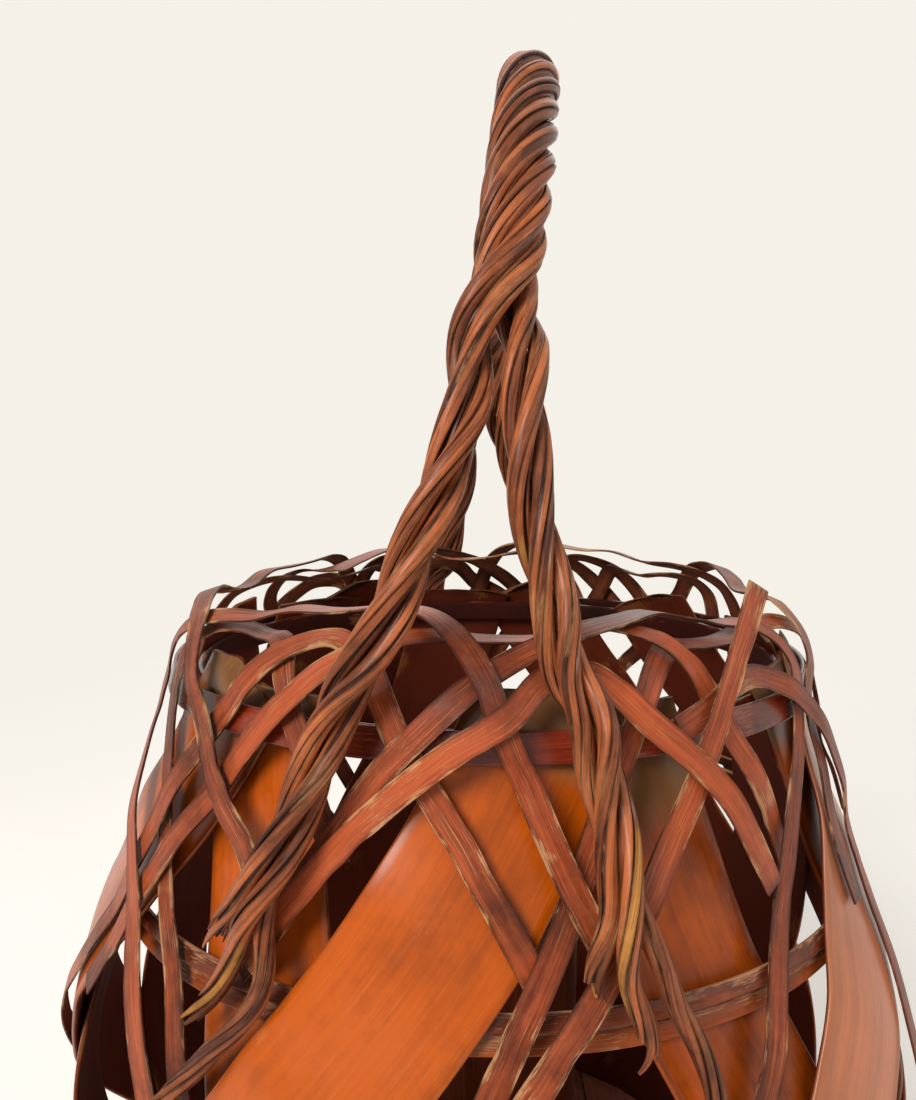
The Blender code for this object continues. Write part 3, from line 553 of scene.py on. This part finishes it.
def bent_hoop(name, node, steps, edge, lap_azimuth, lap_length, waver, tone, material, seed, rubbed_top=0):
    """A strip bent to a ring with its ends lapped: spun from its section, then eased out of true."""
    turns = 25
    lap_lift = 0.45
    drift_share_out = 0.4
    drift_share_up = 0.5
    lowest = 0.00002
    corners = hoop_section(node)
    chance = np.random.default_rng(seed)
    bpy.ops.object.select_all(action="DESELECT")
    bpy.ops.mesh.primitive_plane_add(size=1, location=(0, 0, 0))
    hoop = bpy.context.object
    hoop.name = name
    for vertex, (radius, level) in zip([hoop.data.vertices[index] for index in (0, 1, 3, 2)], corners):
        vertex.co = (radius, 0, level)
    bpy.ops.object.mode_set(mode="EDIT")
    bpy.ops.mesh.select_all(action="SELECT")
    bpy.ops.mesh.bevel(offset=edge, segments=3, affect="VERTICES")
    bpy.ops.mesh.select_all(action="SELECT")
    bpy.ops.mesh.delete(type="ONLY_FACE")
    bpy.ops.mesh.select_all(action="SELECT")
    bpy.ops.mesh.spin(steps=steps, angle=math.tau, axis=(0, 0, 1))
    bpy.ops.mesh.select_all(action="SELECT")
    bpy.ops.mesh.remove_doubles(threshold=0.00001)
    bpy.ops.mesh.normals_make_consistent()
    bpy.ops.object.mode_set(mode="OBJECT")
    spots = points_of(hoop.data)
    azimuth = np.arctan2(spots[:, 0], -spots[:, 1])
    radius = np.hypot(spots[:, 0], spots[:, 1])
    inner_corners = sorted(((corners[0][1], corners[0][0]), (corners[3][1], corners[3][0])))
    inner_radius = np.interp(spots[:, 2], *zip(*inner_corners))
    thickness = corners[1][0] - corners[0][0]
    depth = np.clip((radius - inner_radius) / thickness, 0, 1)
    round_way = (azimuth - lap_azimuth) % math.tau * radius
    lap = np.clip(round_way / lap_length, 0, 1) * (round_way < lap_length)
    knots = np.linspace(0, math.tau, turns)
    drift_out = chance.uniform(-waver, waver, turns)
    drift_up = chance.uniform(-waver, waver, turns)
    drift_out[-1] = drift_out[0]
    drift_up[-1] = drift_up[0]
    turned = azimuth % math.tau
    grown = radius + (np.interp(turned, knots, drift_out) * drift_share_out
                      + lap * thickness * lap_lift) * depth
    level = np.maximum(spots[:, 2] + np.interp(turned, knots, drift_up) * drift_share_up, lowest)
    spots = np.column_stack([grown * np.sin(azimuth), -grown * np.cos(azimuth), level])
    hoop.data.vertices.foreach_set("co", spots.ravel())
    lay_hoop_grain(hoop, corners, lap_azimuth, tone, rubbed_top)
    hoop.data.materials.append(material)
    hoop.data.shade_smooth()
    hoop.data.set_sharp_from_angle(angle=crisp_angle)
    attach(hoop, "basket")
    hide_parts(node)


def unwound(azimuth, vertices):
    """The azimuths of a face's points, with those past the seam counted on."""
    turns = azimuth[list(vertices)]
    return np.where(turns.max() - turns > math.pi, turns + math.tau, turns)


def lay_hoop_grain(hoop, corners, lap_azimuth, tone, rubbed_top):
    """The grain map and the marks of a ring: along it from the lap, and across its height."""
    mesh = hoop.data
    spots = points_of(mesh)
    azimuth = (np.arctan2(spots[:, 0], -spots[:, 1]) - lap_azimuth) % math.tau
    radius = np.hypot(spots[:, 0], spots[:, 1])
    middle = corners.mean(axis=0)
    lean = corners[3] - corners[0]
    lean /= np.linalg.norm(lean)
    flat = np.column_stack([radius, spots[:, 2]]) - middle
    up = flat @ lean
    out = flat @ np.array([lean[1], -lean[0]])
    grain = []
    for polygon in mesh.polygons:
        for turned, vertex in zip(unwound(azimuth, polygon.vertices), polygon.vertices):
            grain.append((turned * middle[0], up[vertex] + out[vertex] * 0.7))
    layer = mesh.uv_layers.new(name="grain")
    layer.data.foreach_set("uv", np.array(grain).ravel())
    half = np.abs(up).max()
    near_edge = np.clip(1 - (half - np.abs(up)) / hoop_rub, 0, 1)
    write_marks(mesh, {"edge": near_edge + rubbed_top * near_edge * (up > 0),
                       "skin": np.clip(out / np.abs(out).max() * 2 + 0.5, 0, 1), "tone": tone})


lower_band_skin = bamboo("lower waist band skin", deep=paint(116, 44, 12), bright=paint(192, 90, 34),
                         inner=paint(62, 30, 16), rubbed=paint(206, 150, 106), smoke=paint(44, 14, 6),
                         roughness=0.42, coat=0.22, along=14, across=1300, wear=0.6, stain=0.5,
                         relief=0.00006)
upper_band_skin = bamboo("upper waist band skin", deep=paint(92, 30, 14), bright=paint(168, 80, 44),
                         inner=paint(54, 24, 14), rubbed=paint(200, 142, 100), smoke=paint(34, 10, 5),
                         roughness=0.36, coat=0.26, along=14, across=1300, wear=0.6, stain=0.7,
                         relief=0.00006)
bent_hoop("lower_waist_band_bent", "lower_waist_band", band_steps, band_edge, 2.6, band_lap, band_waver,
          tone=0.62, material=lower_band_skin, seed=11, rubbed_top=1.6)
bent_hoop("upper_waist_band_bent", "upper_waist_band", band_steps, band_edge, -2.3, band_lap, band_waver,
          tone=0.45, material=upper_band_skin, seed=12, rubbed_top=1.2)

# Plates that lean right.
# The same broad plates the other way round, laid over the waist bands. These lie outside and show most, so
# the maker kept the brightest and glossiest skins for them.
right_plate_tones = (0.78, 0.74, 0.48, 0.62, 0.40, 0.55, 0.66)

# The inner face colour is partly the split's own dull brown and partly painted shade: it is made darker to
# stand for the shade inside the basket.
outer_skin = bamboo("smoked plate outer", deep=paint(98, 35, 4), bright=paint(190, 84, 4),
                    inner=paint(84, 28, 10), rubbed=paint(206, 134, 76), smoke=paint(54, 16, 5),
                    roughness=0.32, coat=0.36, along=6, across=260, wear=0.18, stain=0.2, relief=0.00003,
                    hairs=0.12)
# The second plate faces right at a grazing angle. It gets a pale painted sheen over its skin, and its tone
# is set high for the same sheen.
for number, tone in enumerate(right_plate_tones, 1):
    laid_plate(f"right_leaning_plate_{number}", tone, outer_skin, 200 + number, aged=aged_end,
               painted_shade=0.25, painted_sheen=0.36 if number == 2 else 0)

# Rim hoops.
# A dark lacquered hoop outside the neck and a second one inside it. The plates' upper ends are clamped
# between the two.
rim_steps = 240
rim_edge = 0.00055
rim_lap = 0.045

rim_skin = bamboo("dark lacquered hoop", deep=paint(76, 14, 6), bright=paint(158, 56, 28),
                  inner=paint(52, 16, 7), rubbed=paint(176, 106, 66), smoke=paint(22, 7, 3),
                  roughness=0.24, coat=0.5, along=12, across=900, wear=0.5, stain=0.85, relief=0.00005)
bent_hoop("outer_rim_hoop_bent", "outer_rim_hoop", rim_steps, rim_edge, 2.9, rim_lap, waver=0.0005,
          tone=0.45, material=rim_skin, seed=21)
bent_hoop("inner_rim_hoop_bent", "inner_rim_hoop", rim_steps, rim_edge, -2.7, rim_lap, waver=0.0004,
          tone=0.30, material=rim_skin, seed=22)

# Narrow strips.
# Long narrow splits laid at random angles over the plates. Each climbs the wall, arches over the rolled
# lip and comes down again, held only by the strips that cross it.
strip_width = 0.0064
strip_thickness = 0.0008
strip_solid_thickness = 0.0012
strip_edge = 0.00022
strip_crown = 0.00010
strip_waver = 0.00030
strip_step = 0.0016
strip_columns = 7
strip_crease = 45
strip_nicks = 7
strip_tones = {"upright": 0.40, "low_arch": 0.24, "leaning": 0.58, "long_lip": 0.72, "crossing": 0.30,
               "big_arch": 0.46, "back_lip": 0.22, "side_arch": 0.30, "cut": 0.60, "short_arch": 0.80}

# The strips' pale scratches and rubs are made strong: partly real wear, partly a painted sheen standing in
# for their pale highlights.
strip_skin = bamboo("narrow strip skin", deep=paint(76, 24, 9), bright=paint(190, 88, 46),
                    inner=paint(134, 72, 46), rubbed=paint(204, 154, 108), smoke=paint(28, 9, 4),
                    roughness=0.42, coat=0.16, along=14, across=900, wear=0.74, stain=0.80,
                    relief=0.00010, hairs=0.42)
for order, (strip, tone) in enumerate(strip_tones.items()):
    for side, shift in (("front", 0), ("back", 0.08)):
        node = f"{strip}_strip_{side}"
        laid_strip(f"{node}_split", node, laid_rings(node, strip_crease), strip_step, strip_width,
                   strip_thickness, strip_edge, strip_columns, strip_crown, strip_waver,
                   tone=tone - shift, material=strip_skin, seed=300 + order * 2 + (side == "back"),
                   nicks=strip_nicks, solid_thickness=strip_solid_thickness)

# Foot hoops.
# Two stout hoops round the foot that clamp the lower ends of the plates. They stand on the table and carry
# the basket, so their edges are rubbed.
foot_steps = 200
foot_edge = 0.0007
foot_lap = 0.05
foot_waver = 0.0002

foot_skin = bamboo("foot hoop skin", deep=paint(96, 38, 22), bright=paint(160, 78, 46),
                   inner=paint(96, 60, 42), rubbed=paint(190, 140, 102), smoke=paint(40, 18, 12),
                   roughness=0.42, coat=0.2, along=8, across=420, wear=0.7, stain=0.6, relief=0.00009)
bent_hoop("outer_foot_hoop_bent", "outer_foot_hoop", foot_steps, foot_edge, 2.2, foot_lap, foot_waver,
          tone=0.45, material=foot_skin, seed=31)
bent_hoop("inner_foot_hoop_bent", "inner_foot_hoop", foot_steps, foot_edge, -1.9, foot_lap, foot_waver,
          tone=0.35, material=foot_skin, seed=32)

# Floor slats.
# Two crossing layers of split slats that lie on the inner foot hoop, skin up, and carry the water tube.
# Their edges are scraped round.
slat_round = 0.00035
slat_rub = 0.0012


def fresh_grain(mesh):
    """An empty grain map, in place of the maps that the mesh came with."""
    for existing in [layer.name for layer in mesh.uv_layers]:
        mesh.uv_layers.remove(mesh.uv_layers[existing])
    return mesh.uv_layers.new(name="grain")


slat_skin = bamboo("floor slat skin", deep=paint(84, 36, 20), bright=paint(138, 68, 38),
                   inner=paint(84, 52, 34), rubbed=paint(172, 122, 86), smoke=paint(38, 18, 12),
                   roughness=0.5, coat=0.08, along=7, across=320, wear=0.5, stain=0.6, relief=0.00008)
for layer, way in (("lower", 0), ("upper", 1)):
    for number in range(1, 5):
        node = f"{layer}_floor_slat_{number}"
        bpy.ops.object.select_all(action="DESELECT")
        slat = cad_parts[node].copy()
        slat.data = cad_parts[node].data.copy()
        slat.name = f"{node}_scraped"
        slat.parent = None
        for key in list(slat.keys()):
            del slat[key]
        bpy.context.scene.collection.objects.link(slat)
        slat.select_set(True)
        bpy.context.view_layer.objects.active = slat
        slat.data.materials.clear()
        if slat.data.has_custom_normals:
            bpy.ops.mesh.customdata_custom_splitnormals_clear()
        bpy.ops.object.mode_set(mode="EDIT")
        bpy.ops.mesh.select_all(action="SELECT")
        bpy.ops.mesh.remove_doubles(threshold=0.00001)
        bpy.ops.mesh.dissolve_limited(angle_limit=math.radians(2))
        bpy.ops.object.mode_set(mode="OBJECT")
        bevel = slat.modifiers.new("scraped edges", "BEVEL")
        bevel.width = slat_round
        bevel.segments = 3
        bpy.ops.object.modifier_apply(modifier=bevel.name)
        spots = points_of(slat.data)
        middle = (spots.min(axis=0) + spots.max(axis=0)) / 2
        grain = fresh_grain(slat.data)
        for loop in slat.data.loops:
            spot = spots[loop.vertex_index]
            grain.data[loop.index].uv = (spot[way], spot[1 - way] + spot[2])
        half = (spots.max(axis=0) - middle)[1 - way]
        inset = half - np.abs(spots[:, 1 - way] - middle[1 - way])
        write_marks(slat.data, {"edge": np.clip(1 - inset / slat_rub, 0, 1),
                                "skin": spots[:, 2] > middle[2], "tone": 0.3 + 0.1 * (number * 3 % 4)})
        slat.data.materials.append(slat_skin)
        slat.data.shade_smooth()
        slat.data.set_sharp_from_angle(angle=math.radians(40))
        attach(slat, "basket")
        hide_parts(node)

# Handle.
# Six strands, each a handful of thin split stems. Three twist up each leg and all six over the mouth, and
# their ends are pushed in among the strips, where they are cut off, hooked over the bands or run on down.
stem_count = 7
stem_width = 0.00172
stem_depth = 0.00090
stem_ring = 0.00198
stem_corner = 0.55
stem_step = 0.0022
stem_sides = 8
stem_pitch = 0.11
stem_reach = 0.05
core_width = 0.0034
longest_tear = 0.011
tear_taper = 0.010
bundle_level = 0.290
bundle_rise = 0.02
bundle_packing = 0.13
bark_end = 0.002
peeled_stems = {"a1": ((1, 0, 0.055), (4, 0, 0.03)),
                "a2": (),
                "a3": (),
                "b1": ((4, 0, 0.03), (1, 0.165, 0.176)),
                "b2": ((2, 0.03, 0.095), (5, 0.04, 0.09)),
                "b3": ()}


def softened(path, reach):
    """The path with its sharp turns rounded over a few points each way. Its ends stay where they are."""
    weights = np.hanning(2 * reach + 3)[1:-1]
    weights /= weights.sum()
    before = 2 * path[0] - path[reach:0:-1]
    after = 2 * path[-1] - path[-2:-reach - 2:-1]
    longer = np.vstack([before, path, after])
    return np.stack([np.convolve(longer[:, axis], weights, mode="valid") for axis in range(3)], axis=1)


def carried_frame(path):
    """Two unit vectors square to the path at each point, carried along it without turning."""
    headings = np.gradient(path, axis=0)
    headings /= np.linalg.norm(headings, axis=1)[:, None]
    side = np.cross(headings[0], (0.0, 1.0, 0.0))
    sides = []
    for heading in headings:
        side = side - heading * np.dot(side, heading)
        side = side / np.linalg.norm(side)
        sides.append(side)
    sides = np.array(sides)
    return sides, np.cross(headings, sides)


def rounded(wave):
    """A wave from -1 to 1 with its slopes steeper, which gives a stem's section its blunt corners."""
    return np.sign(wave) * np.abs(wave)**stem_corner


def handle_strand(node, seed, peeled):
    """One strand of the handle: thin stems side by side round its middle, turning slowly. The peeled ones
    have lost their skin from one share of the strand's length to another, counted from the front foot."""
    chance = np.random.default_rng(seed)
    rings = laid_rings(node, 60)
    if rings[0, :, 1].mean() > rings[-1, :, 1].mean():
        rings = rings[::-1]
    fine, along = eased(rings, stem_step)
    path = softened(fine.mean(axis=1), 4)
    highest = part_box(node)[1].z - 0.00002
    packed = 1 + bundle_packing * np.clip((path[:, 2] - bundle_level) / bundle_rise, 0, 1)
    first, second = carried_frame(path)
    angles = math.tau * (np.arange(stem_sides) + 0.5) / stem_sides
    around = np.arange(stem_sides + 1) * stem_width * math.pi / stem_sides / 1.1
    points, faces, grain, tones, rims, skins = [], [], [], [], [], []
    start_phase = chance.uniform(0, math.tau)
    for stem in range(stem_count + 1):
        core = stem == stem_count
        phase = (start_phase + math.tau * stem / stem_count + along * (math.tau / stem_pitch)
                 + wander(along, stem_reach, 0.26, chance))
        ring = (stem_ring * (not core) + wander(along, waver_reach, 0.00024, chance)) * packed
        out = first * np.cos(phase)[:, None] + second * np.sin(phase)[:, None]
        middle = path + out * ring[:, None]
        from_start, from_end = chance.uniform(0, longest_tear, 2)
        kept = (along >= from_start) & (along <= along[-1] - from_end)
        middle, out, reach, full = middle[kept], out[kept], along[kept], packed[kept]
        tangent = np.gradient(middle, axis=0)
        tangent /= np.linalg.norm(tangent, axis=1)[:, None]
        out = out - tangent * (out * tangent).sum(axis=1)[:, None]
        out /= np.linalg.norm(out, axis=1)[:, None]
        sideways = np.cross(tangent, out)
        torn = np.clip(0.45 + np.minimum(reach - reach[0], reach[-1] - reach) / tear_taper, 0, 1) * full
        half_wide = (core_width if core else stem_width) / 2 * torn
        half_wide = half_wide * (1 + wander(reach, stem_reach, 0.20, chance))
        half_deep = (core_width if core else stem_depth) / 2 * torn
        half_deep = half_deep * (1 + wander(reach, stem_reach, 0.16, chance))
        wide = rounded(np.cos(angles)) * half_wide[:, None]
        deep = rounded(np.sin(angles)) * half_deep[:, None]
        tube = middle[:, None] + sideways[:, None] * wide[..., None] + out[:, None] * deep[..., None]
        tube[..., 2] = np.minimum(tube[..., 2], highest)
        rows = len(tube)
        faces += tube_faces(rows, stem_sides, sum(len(block) for block in points))
        points.append(tube.reshape(-1, 3))
        grain.append(tube_grain(reach, around).reshape(-1, 2) + stem * 0.1)
        grain.append(np.zeros((stem_sides * 2, 2)))
        tones.append(np.full(rows * stem_sides, 0 if core else chance.uniform(0.02, 0.95)))
        rims.append(np.tile(np.abs(np.cos(angles)) ** 3 * (not core) + core, rows))
        bare = np.zeros(rows)
        for number, low_share, high_share in peeled:
            if number == stem:
                inside = np.minimum(reach - low_share * along[-1], high_share * along[-1] - reach)
                bare = np.maximum(bare, np.clip(inside / bark_end, 0, 1))
        skins.append(np.repeat(1 - bare, stem_sides))
    marks = {"edge": np.concatenate(rims), "skin": np.concatenate(skins), "tone": np.concatenate(tones)}
    finished_mesh(f"{node}_stems", np.vstack(points), faces, np.vstack(grain), marks, stem_skin, "basket",
                  node)


stem_skin = bamboo("handle stem skin", deep=paint(64, 22, 10), bright=paint(206, 114, 64),
                   inner=paint(204, 140, 72), rubbed=paint(194, 140, 94), smoke=paint(26, 9, 4),
                   roughness=0.42, coat=0.2, along=24, across=2200, wear=0.38, stain=0.75,
                   relief=0.00012, hairs=0.45)
for seed, (strand, peeled) in enumerate(peeled_stems.items(), 41):
    handle_strand(f"handle_strand_{strand}", seed, peeled)

# Water tube.
# A length of culm, closed by its own node a little above its foot. It stands loose on the floor slats,
# holds the water, and lifts out to be filled.
tube_low, tube_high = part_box("water_tube")
tube_radius = 0.030
tube_wall = 0.0035
tube_lip = 0.0009
tube_node_level = tube_low.z + 0.018
tube_node_half = 0.002
tube_ridge = 0.0012
tube_ridge_reach = 0.0013
tube_groove = 0.0003
tube_groove_reach = 0.001
tube_groove_drop = 0.003

bpy.ops.object.select_all(action="DESELECT")
bpy.ops.mesh.primitive_cylinder_add(vertices=96, radius=tube_radius, depth=tube_high.z - tube_low.z,
                                    location=(0, 0, (tube_low.z + tube_high.z) / 2))
culm = bpy.context.object
culm.name = "water_tube_culm"
bpy.ops.object.transform_apply()
bpy.ops.object.mode_set(mode="EDIT")
cuts = [tube_node_level + level for level in (-0.0030, -0.0014, -0.0004, 0.0006, 0.0016, 0.0032)]
cuts += [tube_low.z + (tube_high.z - tube_low.z) * share for share in (0.3, 0.5, 0.7, 0.9)]
for cut in cuts:
    bpy.ops.mesh.select_all(action="SELECT")
    bpy.ops.mesh.bisect(plane_co=(0, 0, cut), plane_no=(0, 0, 1))
bpy.ops.object.mode_set(mode="OBJECT")
for level, bottom, dish in ((tube_high.z, tube_node_level + tube_node_half, -0.0012),
                            (tube_low.z, tube_node_level - tube_node_half, 0.0006)):
    for polygon in culm.data.polygons:
        polygon.select = len(polygon.vertices) > 4 and abs(polygon.center.z - level) < 0.0001
    for edge in culm.data.edges:
        edge.select = False
    for vertex in culm.data.vertices:
        vertex.select = False
    for polygon in culm.data.polygons:
        if polygon.select:
            for index in polygon.vertices:
                culm.data.vertices[index].select = True
    bpy.ops.object.mode_set(mode="EDIT")
    bpy.ops.mesh.select_mode(type="FACE")
    bpy.ops.mesh.inset(thickness=tube_wall)
    bpy.ops.mesh.extrude_region_move(TRANSFORM_OT_translate={"value": (0, 0, bottom - level)})
    bpy.ops.mesh.inset(thickness=0.004)
    bpy.ops.transform.translate(value=(0, 0, dish))
    bpy.ops.object.mode_set(mode="OBJECT")
for vertex in culm.data.vertices:
    x, y, z = vertex.co
    radius = math.hypot(x, y)
    if radius > tube_radius - 0.0001:
        from_node = z - tube_node_level
        ridge = tube_ridge * math.exp(-(from_node / tube_ridge_reach) ** 2)
        groove = tube_groove * math.exp(-((from_node + tube_groove_drop) / tube_groove_reach) ** 2)
        grown = 1 + (ridge - groove) / radius
        vertex.co.x = x * grown
        vertex.co.y = y * grown
bpy.ops.object.mode_set(mode="EDIT")
bpy.ops.mesh.select_all(action="SELECT")
bpy.ops.mesh.normals_make_consistent()
bpy.ops.object.mode_set(mode="OBJECT")
lip = culm.modifiers.new("scraped lip", "BEVEL")
lip.width = tube_lip
lip.segments = 3
lip.limit_method = "ANGLE"
lip.angle_limit = math.radians(60)
bpy.ops.object.modifier_apply(modifier=lip.name)
spots = points_of(culm.data)
azimuth = np.arctan2(spots[:, 1], spots[:, 0])
radius = np.hypot(spots[:, 0], spots[:, 1])
grain = fresh_grain(culm.data)
for polygon in culm.data.polygons:
    turns = unwound(azimuth, polygon.vertices)
    for turned, vertex, loop in zip(turns, polygon.vertices, polygon.loop_indices):
        grain.data[loop].uv = (spots[vertex, 2], turned * tube_radius)
write_marks(culm.data, {"edge": np.clip(1 - np.abs(spots[:, 2] - tube_high.z) / 0.002, 0, 1),
                        "skin": radius > tube_radius - 0.0015, "tone": 0.4})
culm_skin = bamboo("water tube culm", deep=paint(70, 27, 10), bright=paint(118, 54, 24),
                   inner=paint(74, 40, 22), rubbed=paint(150, 100, 62), smoke=paint(44, 16, 7),
                   roughness=0.62, coat=0, along=5, across=260, wear=0.5, stain=0.6, relief=0.00007)
culm_skin.node_tree.nodes["Principled BSDF"].inputs["Specular IOR Level"].default_value = 0.05
culm.data.materials.append(culm_skin)
culm.data.shade_smooth()
culm.data.set_sharp_from_angle(angle=math.radians(45))
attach(culm, "water_tube")
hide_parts("water_tube")

# Floor, light and camera.
# A plain pale table that fades into a plain pale background, soft daylight from the upper left, and the
# camera where the photograph was taken from.
floor_radius = 1.7
floor_fade_start = 0.22
floor_fade_end = 1.3
floor_drop = 0.0003
room_strength = 0.24
pale = paint(245, 241, 232)
picture_height = 1100
focal_length = 958
film_size = 36
camera_tilt = 6.5

bpy.ops.object.select_all(action="DESELECT")
bpy.ops.mesh.primitive_circle_add(vertices=96, radius=floor_radius, fill_type="NGON",
                                  location=(0, 0, -floor_drop))
table = bpy.context.object
table.name = "pale_table"
cloth = bpy.data.materials.new("pale table")
cloth.use_nodes = True
tree = cloth.node_tree
shader = tree.nodes["Principled BSDF"]
place = add_node(tree, "ShaderNodeTexCoord").outputs["Object"]
tint = mixed(tree, noise(tree, place, 3, 2, 0.5), paint(240, 236, 230), paint(250, 247, 243))
tree.links.new(tint, shader.inputs["Base Color"])
shader.inputs["Roughness"].default_value = 0.9
shader.inputs["Specular IOR Level"].default_value = 0.1
shader.inputs["Emission Color"].default_value = pale
shader.inputs["Emission Strength"].default_value = 0.25
far = add_node(tree, "ShaderNodeVectorMath", {0: place}, operation="LENGTH")
fade = add_node(tree, "ShaderNodeMapRange",
                {"Value": far.outputs["Value"], "From Min": floor_fade_start, "From Max": floor_fade_end,
                 "To Min": 1, "To Max": 0}, interpolation_type="SMOOTHSTEP")
tree.links.new(fade.outputs[0], shader.inputs["Alpha"])
table.data.materials.append(cloth)

world = bpy.data.worlds.new("pale room")
bpy.context.scene.world = world
world.use_nodes = True
tree = world.node_tree
room = tree.nodes["Background"]
room.inputs["Color"].default_value = (1.0, 0.985, 0.96, 1)
room.inputs["Strength"].default_value = room_strength
seen = add_node(tree, "ShaderNodeBackground", {"Color": pale})
path = add_node(tree, "ShaderNodeLightPath")
clear = worked_out(tree, "MAXIMUM", path.outputs["Is Camera Ray"], path.outputs["Is Glossy Ray"])
clearer = worked_out(tree, "MAXIMUM", clear, path.outputs["Is Transmission Ray"])
both = add_node(tree, "ShaderNodeMixShader", {0: clearer, 1: room.outputs[0], 2: seen.outputs[0]})
tree.links.new(both.outputs[0], tree.nodes["World Output"].inputs["Surface"])


def soft_lamp(name, place, aim, size, power, colour):
    """A large soft lamp that looks at a point."""
    lamp = bpy.data.lights.new(name, "AREA")
    lamp.shape = "DISK"
    lamp.size = size
    lamp.energy = power
    lamp.color = colour
    held = bpy.data.objects.new(name, lamp)
    bpy.context.scene.collection.objects.link(held)
    back = np.array(place, float) - np.array(aim, float)
    back /= np.linalg.norm(back)
    across = np.cross((0, 0, 1), back)
    across /= np.linalg.norm(across)
    up = np.cross(back, across)
    held.matrix_world = Matrix(np.vstack([np.column_stack([across, up, back, place]), (0, 0, 0, 1)]))


soft_lamp("window", (-0.75, -1.15, 1.15), (0, 0, 0.2), size=0.8, power=27, colour=(1.0, 0.98, 0.95))
soft_lamp("wall bounce", (1.3, -0.5, 0.9), (0, 0, 0.2), size=1.2, power=6, colour=(1.0, 0.97, 0.93))
soft_lamp("sheet behind", (0.1, 1.4, 1.1), (0, 0, 0.25), size=1.3, power=7, colour=(1.0, 0.99, 0.97))

camera_data = bpy.data.cameras.new("photograph")
camera_data.lens = film_size * focal_length / picture_height
camera_data.sensor_width = film_size
camera_data.clip_start = 0.01
camera = bpy.data.objects.new("photograph", camera_data)
bpy.context.scene.collection.objects.link(camera)
camera.location = (-0.0091, -0.3008, 0.2753)
camera.rotation_euler = (math.radians(90 - camera_tilt), 0, 0)
bpy.context.scene.camera = camera
bpy.context.scene.view_settings.view_transform = "Standard"
